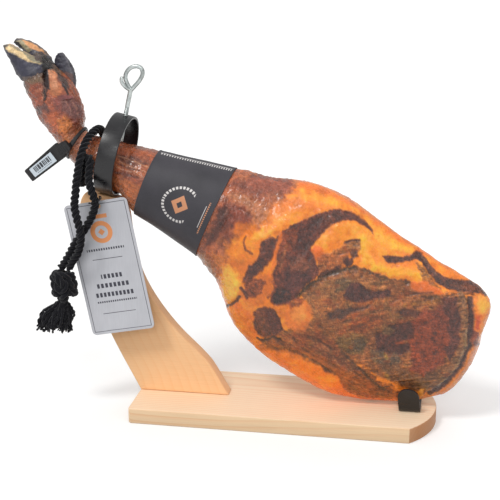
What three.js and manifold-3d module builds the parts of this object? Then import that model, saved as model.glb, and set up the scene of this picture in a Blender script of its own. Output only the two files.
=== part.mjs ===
// A whole cured pork shoulder, hoof on, held in its wooden carving stand.
//
// Frame: millimetres, +Z up, +X along the base board from the hoof end to the
// butt end, -Y toward the side that is carved. The origin is the centre of the
// base board's underside.
//
// The stand is a pine base board with a curved pine arm standing on it, a round
// steel clamp ring screwed to the arm's sloping top end, an eye screw through
// the ring that presses on the shank, and a steel cradle that holds the butt.
// The shoulder wears a paper band, a twisted cotton rope with a knot and a
// tassel, a card swing tag and a plastic seal round the ankle.
import * as THREE from "three";
import { mergeVertices } from "three/addons/utils/BufferGeometryUtils.js";
import Module from "manifold-3d";

const wasm = await Module();
wasm.setup();

// ---------------------------------------------------------------- dimensions
const GAP = 0.35; // clearance between neighbouring pieces

const BOARD_LEFT = -195; // square end of the base board
const BOARD_ARC_CX = 88.5; // centre of the arc that rounds the butt end
const BOARD_ARC_R = 105;
const BOARD_HALF_DEPTH = 74;
const BOARD_T = 20;

const ARM_T = 20; // thickness of the upright arm, centred on Y = 0

const RING_C = new THREE.Vector3(-221, 1.8, 334.2); // middle of the clamp ring
const RING_TILT = 12.8; // degrees: the ring's axis falls toward the butt
const RING_YAW = 0.5; // degrees: and turns toward the carved side
const RING_R_OUT = 52;
const RING_R_IN = 49;
const RING_W = 24;

const SCREW_R = 3; // eye screw shank
const SCREW_HOLE_R = 3.5; // its clearance in the ring
const SCREW_ABOVE = 32.2; // from the ring's outer face to the eye's neck
const EYE_W = 28; // outside width of the eye
const EYE_H = 33; // neck to top of the eye

const CRADLE_X = 160.5; // middle of the cradle strip
const CRADLE_W = 27;
const CRADLE_T = 3;
const CRADLE_IN = 22; // half of its inside width at the floor
const CRADLE_H = 34; // tab height above the board
const CRADLE_FLARE = 8; // outward lean of each tab at its top

const ROPE_R = 5; // rope radius

const BAND_GAP = 0.4; // paper band off the skin
const BAND_T = 0.8;

// The shoulder as cross-sections from the hoof to the butt. Each row is
// [topX, topZ, bottomX, bottomZ, nearHalf, farHalf, centreY, topPower, bottomPower].
const HAM = [
  [-318, 462, -334, 446, 12, 12, 0, 2.0, 2.0],
  [-309, 457, -339, 437, 21, 21, 0, 2.2, 2.2],
  [-301, 448, -337, 425, 25, 25, 0, 2.2, 2.2],
  [-293, 439, -333, 411, 27, 27, 0, 2.2, 2.2],
  [-283, 431, -328, 401, 28, 28, 0, 2.1, 2.1],
  [-275, 421, -325, 392, 29, 29, 0, 2.0, 2.0],
  [-269, 409, -321, 383, 29, 29, 0, 2.0, 2.0],
  [-265, 397, -316, 373, 28, 28, 0, 2.0, 2.0],
  [-262, 387, -308, 364, 26, 26, 0, 2.0, 2.0],
  [-262, 377, -299, 353, 24, 24, 0, 2.0, 2.0],
  [-263, 367, -288, 336, 22.5, 22.5, 0, 2.0, 2.0],
  [-256, 360, -274, 320, 23, 23, 0, 2.0, 2.0],
  [-247, 357, -262, 308, 25, 25, 0, 2.0, 2.0],
  [-237, 354, -246, 299, 28, 28, 0, 2.0, 2.0],
  [-225, 351.5, -231, 290.5, 31, 31, 0, 2.0, 2.0],
  [-211, 348.5, -213, 284, 34, 34, 0, 2.0, 2.0],
  [-190, 345, -203, 269, 36.5, 37, 0, 2.0, 2.0],
  [-165, 340, -196, 260, 38, 39, 0, 2.0, 2.0],
  [-135, 334, -175, 247, 40, 42, 0, 2.0, 2.0],
  [-101, 327.5, -147, 229, 42.5, 45, 0, 2.0, 2.0],
  [-67, 321, -117, 208, 44.5, 47, 0, 2.0, 2.0],
  [-49, 318, -105, 193, 45, 48, 0, 2.0, 2.0],
  [-24, 312, -92, 176, 46, 49, 0, 2.0, 2.0],
  [1, 310, -84, 155, 46.5, 51, 0, 2.05, 2.0],
  [26, 307, -78, 137, 47, 52, 0, 2.1, 2.0],
  [51, 300, -68, 116, 47, 53, 0, 2.1, 2.0],
  [77, 288, -48, 93, 47, 54, 0, 2.1, 1.95],
  [101, 272, -22, 73, 44, 50, 0, 2.1, 1.9],
  [126, 254, 8, 54, 42.5, 47.5, 0, 2.1, 1.85],
  [151, 237, 37, 39, 40.5, 45, 0, 2.1, 1.8],
  [176, 222, 66, 28.5, 38.5, 42, 0, 2.1, 1.7],
  [199, 208, 96, 24.8, 36, 38.5, 0, 2.1, 1.6],
  [220, 196, 124, 24.2, 33.5, 35, 0, 2.1, 1.5],
  [237, 186, 151, 25.2, 30.5, 31.5, 0, 2.1, 1.5],
  [247, 177, 172, 28.5, 27.5, 28, 0, 2.1, 1.55],
  [252.5, 167, 187, 33, 24, 24, 0, 2.1, 1.7],
  [254, 157, 200, 38.5, 20.5, 20, 0, 2.1, 1.8],
  [252.5, 147, 210, 46, 16.5, 16, 0, 2.0, 1.9],
  [249.5, 136, 219, 56, 12, 12, 0, 2.0, 2.0],
  [246.5, 124, 227, 69, 7.5, 7.5, 0, 2.0, 2.0],
  [243.5, 111, 234, 84, 3.2, 3.2, 0, 2.0, 2.0],
];
// Shallow hollows and swellings of the carved side: [x, z, radiusX, radiusZ, height].
const RELIEF_NEAR = [
  [150, 110, 62, 44, -5.5],
  [60, 150, 46, 30, 4.0],
  [40, 245, 40, 26, -4.5],
  [-20, 230, 30, 46, 3.5],
  [-40, 165, 26, 40, 3.0],
  [195, 175, 34, 22, 3.5],
  [120, 175, 44, 16, -3.5],
  [226, 110, 14, 50, 4.0],
];
const RELIEF_FAR = [
  [120, 200, 70, 50, 5],
  [30, 150, 60, 60, 4],
  [-60, 260, 40, 30, 3],
];

// Claws: [lowX, lowZ, highX, highZ, halfDepth, centreY] from the root to the tip.
const CLAW_NEAR = [
  [-328, 424, -300, 444, 11, -13],
  [-335, 427.5, -305, 448, 13, -14],
  [-342, 435.5, -312, 452.5, 12.6, -14],
  [-347.5, 449, -323, 459, 11.2, -14.5],
  [-353.5, 460.5, -334, 464.5, 9, -15],
  [-357, 467.5, -343, 470, 6, -15],
  [-357.5, 471, -349, 472.5, 3, -15],
];
const CLAW_FAR = [
  [-322, 428, -300, 438, 11, 13],
  [-324, 437, -304, 445, 12.5, 14],
  [-330, 446, -308, 454, 12.2, 14],
  [-337, 455, -317, 463.5, 10.8, 14],
  [-343, 462, -328, 471, 9, 13.5],
  [-350, 467.5, -341, 475.5, 6, 13],
  [-354.5, 471, -350, 476.5, 3, 13],
];
const DEWCLAW_FAR = [
  [-296, 410, -276, 414, 7, 14],
  [-299, 420, -276, 425, 8, 17],
  [-301.5, 433, -277.5, 434, 8, 18],
  [-303.5, 444, -281, 444, 7, 18],
  [-302, 452, -286.5, 452.5, 5, 17],
  [-298, 458.5, -291.5, 459.5, 2.5, 16],
];
const DEWCLAW_NEAR = [
  [-306, 402, -268, 408, 8, -17],
  [-305.5, 415, -276, 420, 8.5, -20],
  [-304, 427, -284, 430, 7, -21.5],
  [-302.5, 436, -291, 437.5, 4.8, -21],
  [-301, 442, -297, 442.8, 2, -20],
];

// ------------------------------------------------------------------- helpers
const V = (x, y, z) => new THREE.Vector3(x, y, z);

function geometryOf(points, faces) {
  // Turns the faces round when the solid would be inside out.
  let volume = 0;
  for (const [a, b, c] of faces)
    volume += points[a].dot(points[b].clone().cross(points[c])) / 6;
  const index = [];
  for (const [a, b, c] of faces)
    volume > 0 ? index.push(a, b, c) : index.push(a, c, b);
  const g = new THREE.BufferGeometry();
  g.setAttribute(
    "position",
    new THREE.Float32BufferAttribute(points.flatMap((p) => [p.x, p.y, p.z]), 3),
  );
  g.setIndex(index);
  g.computeVertexNormals();
  return g;
}

// A skin over rings of equal point count, capped at both ends or closed on itself.
function loft(rings, closed = false) {
  const n = rings.length,
    m = rings[0].length,
    points = rings.flat(),
    faces = [];
  const last = closed ? n : n - 1;
  for (let i = 0; i < last; i++)
    for (let j = 0; j < m; j++) {
      const a = i * m + j,
        b = i * m + ((j + 1) % m),
        c = ((i + 1) % n) * m + ((j + 1) % m),
        d = ((i + 1) % n) * m + j;
      faces.push([a, b, c], [a, c, d]);
    }
  if (!closed)
    for (const i of [0, n - 1]) {
      const mid = V(0, 0, 0);
      rings[i].forEach((p) => mid.add(p));
      points.push(mid.divideScalar(m));
      const k = points.length - 1;
      for (let j = 0; j < m; j++) {
        const a = i * m + j,
          b = i * m + ((j + 1) % m);
        faces.push(i === 0 ? [b, a, k] : [a, b, k]);
      }
    }
  return geometryOf(points, faces);
}

function solid(geometry) {
  const g = geometry.clone();
  for (const name of Object.keys(g.attributes))
    if (name !== "position") g.deleteAttribute(name);
  const merged = mergeVertices(g, 1e-4);
  const mesh = new wasm.Mesh({
    numProp: 3,
    vertProperties: merged.attributes.position.array,
    triVerts: new Uint32Array(merged.index.array),
  });
  return new wasm.Manifold(mesh);
}

function fromSolid(s) {
  const m = s.getMesh();
  const position = new Float32Array(m.numVert * 3);
  for (let i = 0; i < m.numVert; i++)
    position.set(m.vertProperties.subarray(i * m.numProp, i * m.numProp + 3), i * 3);
  const g = new THREE.BufferGeometry();
  g.setAttribute("position", new THREE.BufferAttribute(position, 3));
  g.setIndex(new THREE.BufferAttribute(new Uint32Array(m.triVerts), 1));
  g.computeVertexNormals();
  return g;
}

const union = (parts) => parts.reduce((a, b) => a.add(b));

// A round tube along a curve, closed at both ends.
function tube(curve, radius, steps, sides) {
  const shape = new THREE.Shape().absarc(0, 0, radius, 0, 2 * Math.PI);
  const g = new THREE.ExtrudeGeometry(shape, {
    steps,
    curveSegments: sides,
    bevelEnabled: false,
    extrudePath: curve,
  });
  return g;
}

// A cylinder between two points.
function rod(from, to, radius, sides = 24) {
  const g = new THREE.CylinderGeometry(radius, radius, from.distanceTo(to), sides);
  g.applyQuaternion(
    new THREE.Quaternion().setFromUnitVectors(V(0, 1, 0), to.clone().sub(from).normalize()),
  );
  const mid = from.clone().add(to).multiplyScalar(0.5);
  return g.translate(mid.x, mid.y, mid.z);
}

// A flat outline in X and Z, given a thickness in Y.
function plateXZ(shape, y0, y1, curveSegments = 12) {
  const g = new THREE.ExtrudeGeometry(shape, {
    depth: y1 - y0,
    bevelEnabled: false,
    curveSegments,
  });
  // Shape x, y become X, Z, and the extrusion runs along -Y from y1.
  return g.rotateX(Math.PI / 2).translate(0, y1, 0);
}

function material(color, roughness, metalness = 0) {
  return new THREE.MeshStandardMaterial({ color, roughness, metalness });
}

const group = new THREE.Group();
function add(name, geometry, mat) {
  const mesh = new THREE.Mesh(geometry, mat);
  mesh.name = name;
  group.add(mesh);
  return mesh;
}

const pine = material(0xe6b984, 0.6);
const pineArm = material(0xe3a768, 0.55);
const blackSteel = material(0x1c1c1f, 0.4, 0.6);
const zinc = material(0xb9c0c0, 0.35, 1);
const screwSteel = material(0x8f9396, 0.4, 1);
const meat = material(0xa75a2c, 0.35);
const paper = material(0x2d2c31, 0.55);
const card = material(0xa9abae, 0.4);
const cotton = material(0x17171a, 0.95);
const plastic = material(0x1d1d1f, 0.45);
const label = material(0xe8ecf2, 0.4);

// ------------------------------------------------------------------ the ham
// Catmull-Rom along the section table.
function section(table, u) {
  const n = table.length - 1;
  const t = Math.min(Math.max(u, 0), n - 1e-9);
  const i = Math.floor(t),
    f = t - i;
  const at = (k) => table[Math.min(Math.max(k, 0), n)];
  const [p0, p1, p2, p3] = [at(i - 1), at(i), at(i + 1), at(i + 2)];
  return p1.map(
    (_, k) =>
      0.5 *
      (2 * p1[k] +
        (p2[k] - p0[k]) * f +
        (2 * p0[k] - 5 * p1[k] + 4 * p2[k] - p3[k]) * f * f +
        (3 * p1[k] - p0[k] - 3 * p2[k] + p3[k]) * f * f * f),
  );
}

function relief(table, x, z) {
  let sum = 0;
  for (const [cx, cz, rx, rz, h] of table)
    sum += h * Math.exp(-(((x - cx) / rx) ** 2) - ((z - cz) / rz) ** 2);
  return sum;
}

// One ring of the shoulder at station u, pushed outward by `out` millimetres.
function hamRing(u, sides, out = 0) {
  const [tx, tz, bx, bz, near, far, cy, pt, pb] = section(HAM, u);
  const mid = V((tx + bx) / 2, cy, (tz + bz) / 2);
  const half = V((tx - bx) / 2, 0, (tz - bz) / 2);
  const up = half.clone().normalize();
  const ring = [];
  for (let j = 0; j < sides; j++) {
    const a = (2 * Math.PI * j) / sides,
      c = Math.cos(a),
      s = Math.sin(a),
      p = c > 0 ? pt : pb;
    const h = Math.sign(c) * Math.abs(c) ** (2 / p),
      w = Math.sign(s) * Math.abs(s) ** (2 / p);
    const q = mid.clone().addScaledVector(half, h);
    const bump = s > 0 ? relief(RELIEF_NEAR, q.x, q.z) : relief(RELIEF_FAR, q.x, q.z);
    q.y -= w > 0 ? (near + bump * Math.abs(s)) * w : (far + bump * Math.abs(s)) * w;
    if (out) {
      const depth = w > 0 ? near : far;
      const normal = V(0, 0, 0)
        .addScaledVector(up, c / half.length())
        .add(V(0, -s / depth, 0))
        .normalize();
      q.addScaledVector(normal, out);
    }
    ring.push(q);
  }
  return ring;
}

const HAM_SIDES = 36;
const stations = [];
for (let i = 0; i < HAM.length - 1; i++) {
  stations.push(i);
  // Half stations only where the outline turns quickly.
  if (i < 2 || i > 33) stations.push(i + 0.5);
}
stations.push(HAM.length - 1);

function horn(table, sides = 14) {
  const rings = [];
  for (let i = 0; i < table.length - 1; i += 0.5) rings.push(i);
  rings.push(table.length - 1);
  return loft(
    rings.map((u) => {
      const [lx, lz, hx, hz, depth, cy] = section(table, u);
      const ring = [];
      for (let j = 0; j < sides; j++) {
        const a = (2 * Math.PI * j) / sides,
          c = Math.cos(a),
          s = Math.sin(a);
        const k = Math.sign(c) * Math.abs(c) ** 0.85;
        ring.push(
          V(
            (lx + hx) / 2 + ((hx - lx) / 2) * k,
            cy - depth * Math.sign(s) * Math.abs(s) ** 0.9,
            (lz + hz) / 2 + ((hz - lz) / 2) * k,
          ),
        );
      }
      return ring;
    }),
  );
}

const hamSolid = union([
  solid(loft(stations.map((u) => hamRing(u, HAM_SIDES)))),
  solid(horn(CLAW_NEAR)),
  solid(horn(CLAW_FAR)),
  solid(horn(DEWCLAW_NEAR, 12)),
  solid(horn(DEWCLAW_FAR, 12)),
]);
add("ham", fromSolid(hamSolid), meat);

// ------------------------------------------------------------- wooden stand
const boardShape = new THREE.Shape();
{
  const cornerX = BOARD_ARC_CX + Math.sqrt(BOARD_ARC_R ** 2 - BOARD_HALF_DEPTH ** 2);
  const a = Math.asin(BOARD_HALF_DEPTH / BOARD_ARC_R);
  const r = 5;
  boardShape.moveTo(BOARD_LEFT + r, -BOARD_HALF_DEPTH);
  boardShape.lineTo(cornerX, -BOARD_HALF_DEPTH);
  boardShape.absarc(BOARD_ARC_CX, 0, BOARD_ARC_R, -a, a, false);
  boardShape.lineTo(BOARD_LEFT + r, BOARD_HALF_DEPTH);
  boardShape.absarc(BOARD_LEFT + r, BOARD_HALF_DEPTH - r, r, Math.PI / 2, Math.PI, false);
  boardShape.lineTo(BOARD_LEFT, -BOARD_HALF_DEPTH + r);
  boardShape.absarc(BOARD_LEFT + r, -BOARD_HALF_DEPTH + r, r, Math.PI, 1.5 * Math.PI, false);
}
const boardBlank = new THREE.ExtrudeGeometry(boardShape, {
  depth: BOARD_T - 1.6,
  bevelEnabled: true,
  bevelThickness: 0.8,
  bevelSize: 0.8,
  bevelOffset: -0.8,
  bevelSegments: 1,
  curveSegments: 14,
}).translate(0, 0, 0.8);

// The arm's outline in X and Z, standing on the board.
const ARM_FOOT_Z = BOARD_T + GAP;
const ringN = V(0, 0, 1); // the ring's own up, filled in below
const tilt = THREE.MathUtils.degToRad(RING_TILT);
const yaw = THREE.MathUtils.degToRad(RING_YAW);
const ringAxis = V(
  Math.cos(tilt) * Math.cos(yaw),
  -Math.sin(yaw),
  -Math.sin(tilt) * Math.cos(yaw),
).normalize();
ringN.addScaledVector(ringAxis, -ringAxis.z).normalize();
const ringSide = ringN.clone().cross(ringAxis).normalize();
// Where the ring's lowest line lies over the arm.
const ringFoot = RING_C.clone().addScaledVector(ringN, -RING_R_OUT - GAP);
const slope = -Math.tan(tilt);
const topZ = (x) => ringFoot.z + (x - ringFoot.x) * slope - 0.6;

const armShape = new THREE.Shape();
armShape.moveTo(-194.5, ARM_FOOT_Z);
armShape.lineTo(-75.5, ARM_FOOT_Z);
armShape.bezierCurveTo(-84, 34, -92, 50, -102, 64);
armShape.bezierCurveTo(-118, 82, -131, 92, -142, 104);
armShape.bezierCurveTo(-163, 127, -182, 154, -192, 180);
armShape.bezierCurveTo(-200, 201, -204, 232, -206.5, 262);
armShape.quadraticCurveTo(-207, topZ(-212) - 1, -214, topZ(-214));
armShape.lineTo(-252, topZ(-252));
armShape.bezierCurveTo(-262, topZ(-262), -269, 276, -268.5, 266);
armShape.bezierCurveTo(-267.5, 220, -257, 150, -232, 94);
armShape.bezierCurveTo(-220, 68, -207, 45, -194.5, ARM_FOOT_Z);
const armBlank = new THREE.ExtrudeGeometry(armShape, {
  depth: ARM_T - 2,
  bevelEnabled: true,
  bevelThickness: 1,
  bevelSize: 1,
  bevelOffset: -1,
  bevelSegments: 1,
  curveSegments: 10,
})
  .rotateX(Math.PI / 2)
  .translate(0, ARM_T / 2 - 1, 0);

// Countersunk wood screws from under the board into the arm.
function woodScrew(base, dir, shankR, headR, headH, length, sides = 20) {
  // Profile from the head's outer face, turned about the screw's axis.
  const profile = [
    [0, 0],
    [headR, 0],
    [headR, 0.5],
    [shankR, headH],
    [shankR, length - 4],
    [0, length],
  ].map(([x, y]) => new THREE.Vector2(x, y));
  const g = new THREE.LatheGeometry(profile, sides);
  g.applyQuaternion(new THREE.Quaternion().setFromUnitVectors(V(0, 1, 0), dir));
  return g.translate(base.x, base.y, base.z);
}
function lathe(base, dir, rows, sides = 20) {
  const g = new THREE.LatheGeometry(rows.map(([x, y]) => new THREE.Vector2(x, y)), sides);
  g.applyQuaternion(new THREE.Quaternion().setFromUnitVectors(V(0, 1, 0), dir));
  return g.translate(base.x, base.y, base.z);
}

const ARM_SCREWS = [V(-170, 0, 1), V(-112, 0, 1)];
const UP = V(0, 0, 1);
let boardSolid = solid(boardBlank);
let armSolid = solid(armBlank);
ARM_SCREWS.forEach((p, i) => {
  add("arm_screw_" + (i + 1), woodScrew(p, UP, 2, 4.2, 3, 42), screwSteel);
  const cut = solid(
    lathe(V(p.x, p.y, -1), UP, [
      [0, 0],
      [4.9, 0],
      [4.9, 2.9],
      [2.6, 5.2],
      [2.6, 40.5],
      [0, 45],
    ]),
  );
  boardSolid = boardSolid.subtract(cut);
  armSolid = armSolid.subtract(cut);
});

// -------------------------------------------------------------- clamp ring
const ringFrame = new THREE.Matrix4()
  .makeBasis(ringSide, ringN, ringAxis)
  .setPosition(RING_C);
const hoop = new THREE.Shape().absarc(0, 0, RING_R_OUT, 0, 2 * Math.PI);
hoop.holes.push(new THREE.Path().absarc(0, 0, RING_R_IN, 0, 2 * Math.PI, true));
let ringSolid = solid(
  new THREE.ExtrudeGeometry(hoop, {
    depth: RING_W - 0.8,
    bevelEnabled: true,
    bevelThickness: 0.4,
    bevelSize: 0.4,
    bevelOffset: -0.4,
    bevelSegments: 1,
    curveSegments: 28,
  })
    .translate(0, 0, -RING_W / 2 + 0.4)
    .applyMatrix4(ringFrame),
);
const inRing = (side, up, along) =>
  RING_C.clone()
    .addScaledVector(ringSide, side)
    .addScaledVector(ringN, up)
    .addScaledVector(ringAxis, along);
// A round hole through the top for the eye screw.
const SCREW_ALONG = 1.8; // the screw enters a little toward the butt side of the middle
ringSolid = ringSolid.subtract(
  solid(rod(inRing(0, RING_R_IN - 6, SCREW_ALONG), inRing(0, RING_R_OUT + 6, SCREW_ALONG), SCREW_HOLE_R, 28)),
);
// Two pan-head wood screws through the bottom into the arm.
const down = ringN.clone().negate();
[-6.5, 6.5].forEach((along, i) => {
  const seat = inRing(0, -RING_R_IN + 2.6, along);
  add(
    "ring_screw_" + (i + 1),
    lathe(seat, down, [
      [0, 0],
      [2.6, 0],
      [3.8, 1],
      [3.8, 2.0],
      [1.9, 2.0],
      [1.9, 20],
      [0, 23],
    ]),
    screwSteel,
  );
  const cut = solid(
    lathe(inRing(0, -RING_R_IN + 6, along), down, [
      [0, 0],
      [2.3, 0],
      [2.3, 23.6],
      [0, 27.6],
    ]),
  );
  ringSolid = ringSolid.subtract(cut);
  armSolid = armSolid.subtract(cut);
});

// ---------------------------------------------------------------- eye screw
const screwTip = 17.6; // ring-local height of the tip, just off the shank
const shaftTop = inRing(0, RING_R_OUT + SCREW_ABOVE, SCREW_ALONG);
const eyeAt = (side, up) => {
  // The eye's plane holds the screw's axis and the ring's axis.
  return inRing(0, RING_R_OUT + SCREW_ABOVE + up, SCREW_ALONG + side);
};
const eyeLoop = [
  [0, 1],
  [3.9, 6.1],
  [9.2, 15.8],
  [11.1, 24.6],
  [7.5, 30.7],
  [0.9, 31.2],
  [-6.1, 26.7],
  [-9.4, 20.1],
  [-9.3, 13.7],
  [-5.5, 7],
].map(([s, h]) => eyeAt(s, h));
const eyeCurve = new THREE.CatmullRomCurve3(eyeLoop, true, "centripetal");
function closedTube(curve, radius, steps, sides) {
  const frames = curve.computeFrenetFrames(steps, true);
  const rings = [];
  for (let i = 0; i < steps; i++) {
    const p = curve.getPointAt(i / steps),
      ring = [];
    for (let j = 0; j < sides; j++) {
      const a = (2 * Math.PI * j) / sides;
      ring.push(
        p
          .clone()
          .addScaledVector(frames.normals[i], Math.cos(a) * radius)
          .addScaledVector(frames.binormals[i], Math.sin(a) * radius),
      );
    }
    rings.push(ring);
  }
  return loft(rings, true);
}
const tail = new THREE.CatmullRomCurve3([
  eyeAt(0.2, 0),
  eyeAt(-6.7, 4).addScaledVector(ringSide, -4.4),
  eyeAt(-11.9, 9.1).addScaledVector(ringSide, -5.4),
  eyeAt(-12.8, 15.3).addScaledVector(ringSide, -5.2),
]);
const clampSolid = union([
  solid(rod(inRing(0, screwTip + 1.2, SCREW_ALONG), eyeAt(0, 2.4), SCREW_R, 24)),
  solid(rod(inRing(0, screwTip, SCREW_ALONG), inRing(0, screwTip + 2, SCREW_ALONG), SCREW_R - 0.9, 24)),
  solid(closedTube(eyeCurve, 2.7, 36, 10)),
  solid(tube(tail, 2.3, 9, 5)),
]);
add("clamp_screw", fromSolid(clampSolid), zinc);
add("clamp_ring", fromSolid(ringSolid), blackSteel);

// ------------------------------------------------------------------- cradle
// A flat strip bent to a wide U. Its tabs lean outward and their tops are round.
function tabGeometry(sign) {
  const w = CRADLE_W / 2,
    rows = [];
  const zs = [0, 6, 12, 18, 24, 27.5, 30, 32, 33.2, 33.8, CRADLE_H];
  for (const z of zs) {
    const k = z / CRADLE_H,
      lean = CRADLE_FLARE * k;
    // The round top starts at 24 mm.
    const q = Math.max(0, (z - 22) / (CRADLE_H - 22 + 0.05));
    const half = w * Math.sqrt(Math.max(0.015, 1 - q * q));
    const shift = -3 * k;
    const y = sign * (CRADLE_IN + lean);
    const x0 = CRADLE_X + shift - half,
      x1 = CRADLE_X + shift + half;
    rows.push([
      V(x0, y, BOARD_T + GAP + z),
      V(x1, y, BOARD_T + GAP + z),
      V(x1, y + sign * CRADLE_T, BOARD_T + GAP + z),
      V(x0, y + sign * CRADLE_T, BOARD_T + GAP + z),
    ]);
  }
  return loft(rows);
}
let cradleSolid = union([
  solid(
    new THREE.BoxGeometry(CRADLE_W, 2 * (CRADLE_IN + CRADLE_T), CRADLE_T).translate(
      CRADLE_X,
      0,
      BOARD_T + GAP + CRADLE_T / 2,
    ),
  ),
  solid(tabGeometry(-1)),
  solid(tabGeometry(1)),
]);
[-12.5, 12.5].forEach((y, i) => {
  const p = V(CRADLE_X, y, BOARD_T + GAP + CRADLE_T);
  add("cradle_screw_" + (i + 1), woodScrew(p, V(0, 0, -1), 1.8, 3.6, 2.4, 17), screwSteel);
  const cut = solid(
    lathe(V(p.x, p.y, p.z + 1), V(0, 0, -1), [
      [0, 0],
      [4.2, 0],
      [4.2, 1.7],
      [2.3, 4.0],
      [2.3, 17.2],
      [0, 20],
    ]),
  );
  cradleSolid = cradleSolid.subtract(cut);
  boardSolid = boardSolid.subtract(cut);
});
add("cradle_bracket", fromSolid(cradleSolid), blackSteel);
add("base_board", fromSolid(boardSolid), pine);
add("upright_arm", fromSolid(armSolid), pineArm);

// --------------------------------------------------------------- paper band
{
  const from = 17.0,
    to = 20.0,
    rows = [];
  for (let u = from; u <= to; u += 1) rows.push(u);
  const outer = rows.map((u) => hamRing(u, HAM_SIDES, BAND_GAP + BAND_T));
  const inner = rows.map((u) => hamRing(u, HAM_SIDES, BAND_GAP));
  // Out along the outside and back along the inside, closed on itself.
  const loop = outer.concat(inner.reverse());
  add("label_sleeve", loft(loop, true), paper);
}

// ------------------------------------------------------------------ the rope
// The route of the rope's centre line from the knot, up the left strand, over
// the shank, round under it, up behind the left strand and down the right one.
const ROPE = [
  [-273, -50, 196],
  [-268, -53, 205],
  [-258, -58, 219],
  [-252.5, -61, 236],
  [-252.5, -62, 250],
  [-256.5, -60, 264],
  [-260, -57, 280],
  [-258.5, -55.5, 296],
  [-257.5, -52.5, 310],
  [-256, -49.5, 323],
  [-254.5, -46, 335],
  [-252.5, -39.5, 346],
  [-250, -29, 356.5],
  [-246, -14, 364.5],
  [-243.5, 2, 366],
  [-243.5, 17, 359.5],
  [-246.5, 28, 346.5],
  [-251, 32, 330],
  [-257.5, 27, 313],
  [-262, 13, 300.5],
  [-264, -3, 297.5],
  [-263, -18, 300.5],
  [-260, -29, 308.5],
  [-256.3, -33, 320.5],
  [-251.5, -34.8, 331.5],
  [-246.3, -37.2, 337.3],
  [-242.8, -41, 333.5],
  [-243, -45, 323],
  [-243, -48, 311.5],
  [-240.8, -49, 300.5],
  [-237.8, -48.5, 290.5],
  [-236.3, -48, 282],
  [-238.5, -48, 271],
  [-245, -49, 257],
  [-254, -49, 243],
  [-264, -49, 229],
  [-272, -49.5, 214],
  [-280, -50, 201],
  [-284, -50, 196],
].map(([x, y, z]) => V(x, y, z));
const ropeCurve = new THREE.CatmullRomCurve3(ROPE, false, "centripetal");
const KNOT_C = V(-281, -50, 173);
// The knot: one fat turn and two crossing lobes, pressed into one body.
function lobe(points, radius, steps = 18) {
  return solid(
    closedTube(
      new THREE.CatmullRomCurve3(points.map(([x, y, z]) => KNOT_C.clone().add(V(x, y, z))), true, "centripetal"),
      radius,
      steps,
      8,
    ),
  );
}
const core = new THREE.SphereGeometry(12.5, 14, 10).scale(1, 0.9, 1.25).translate(KNOT_C.x, KNOT_C.y, KNOT_C.z);
const knotSolid = union([
  solid(core),
  lobe([[-11, -3, 10], [2, -11, 9], [12, -2, 4], [9, 9, 0], [-4, 10, 4], [-12, 5, 8]], 5.2),
  lobe([[-9, -4, -9], [3, -11, -6], [13, -3, -8], [8, 9, -11], [-5, 9, -12], [-11, 4, -10]], 5.2),
  lobe([[-3, -11, 13], [6, -13, 2], [3, -11, -12], [-1, 2, -17], [-6, 10, -2], [-5, 3, 14]], 5.0),
]);
const ropeSkin = solid(tube(ropeCurve, ROPE_R + 0.4, 110, 5));
add("rope", tube(ropeCurve, ROPE_R, 110, 5), cotton);
const knotCut = knotSolid.subtract(ropeSkin).decompose().sort((a, b) => b.volume() - a.volume())[0];
add("rope_knot", fromSolid(knotCut), cotton);

// The frayed ends below the knot, as one ragged bundle.
{
  const rows = [];
  const spine = [
    [-283, -50, 149.8, 8, 7],
    [-285, -50.5, 145, 11, 9.5],
    [-288, -51, 138, 15, 12],
    [-291, -51.5, 129, 18.5, 14],
    [-294, -52, 120, 21.5, 15],
    [-296, -52, 113, 23, 15],
  ];
  spine.forEach(([x, y, z, rx, ry], i) => {
    const ring = [];
    for (let j = 0; j < 22; j++) {
      const a = (2 * Math.PI * j) / 22;
      const flute = 1 + (j % 2 ? 0.06 : -0.06) * Math.min(1, i / 2);
      ring.push(V(x + rx * flute * Math.cos(a), y + ry * flute * Math.sin(a), z + (i === 5 ? (j % 3) * 2.2 - 2 : 0)));
    }
    rows.push(ring);
  });
  add("rope_tassel", loft(rows), cotton);
}

// ---------------------------------------------------------------- swing tag
{
  // Card corners in X and Z, measured on its own plane in front of the arm.
  const w = 84,
    h = 174,
    r = 6;
  const s = new THREE.Shape();
  s.moveTo(-w / 2 + r, -h);
  s.lineTo(w / 2 - r, -h);
  s.absarc(w / 2 - r, -h + r, r, -Math.PI / 2, 0, false);
  s.lineTo(w / 2, -r);
  s.absarc(w / 2 - r, -r, r, 0, Math.PI / 2, false);
  s.lineTo(-w / 2 + r, 0);
  s.absarc(-w / 2 + r, -r, r, Math.PI / 2, Math.PI, false);
  s.lineTo(-w / 2, -h + r);
  s.absarc(-w / 2 + r, -h + r, r, Math.PI, 1.5 * Math.PI, false);
  const hole = new THREE.Path().absarc(3.5, -6.5, 3, 0, 2 * Math.PI, true);
  s.holes.push(hole);
  const g = plateXZ(s, -0.6, 0.6, 8);
  g.applyMatrix4(new THREE.Matrix4().makeRotationY(-THREE.MathUtils.degToRad(11)));
  g.translate(-240.5, -36, 281);
  add("swing_tag", g, card);
}
// A thin cord that ties the card to the rope, through the card's hole.
{
  const loop = new THREE.CatmullRomCurve3(
    [
      [-244, -44.5, 280.5],
      [-241.8, -53.5, 282.5],
      [-235.2, -56.4, 284.5],
      [-229.6, -51.5, 286.5],
      [-229.8, -43, 288],
      [-234.2, -35.5, 287.4],
      [-235.4, -32.7, 280.4],
      [-235.9, -36, 275.2],
      [-240, -40, 276.6],
    ].map(([x, y, z]) => V(x, y, z)),
    true,
    "centripetal",
  );
  add("tag_tie", closedTube(loop, 0.8, 36, 6), cotton);
}

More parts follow.
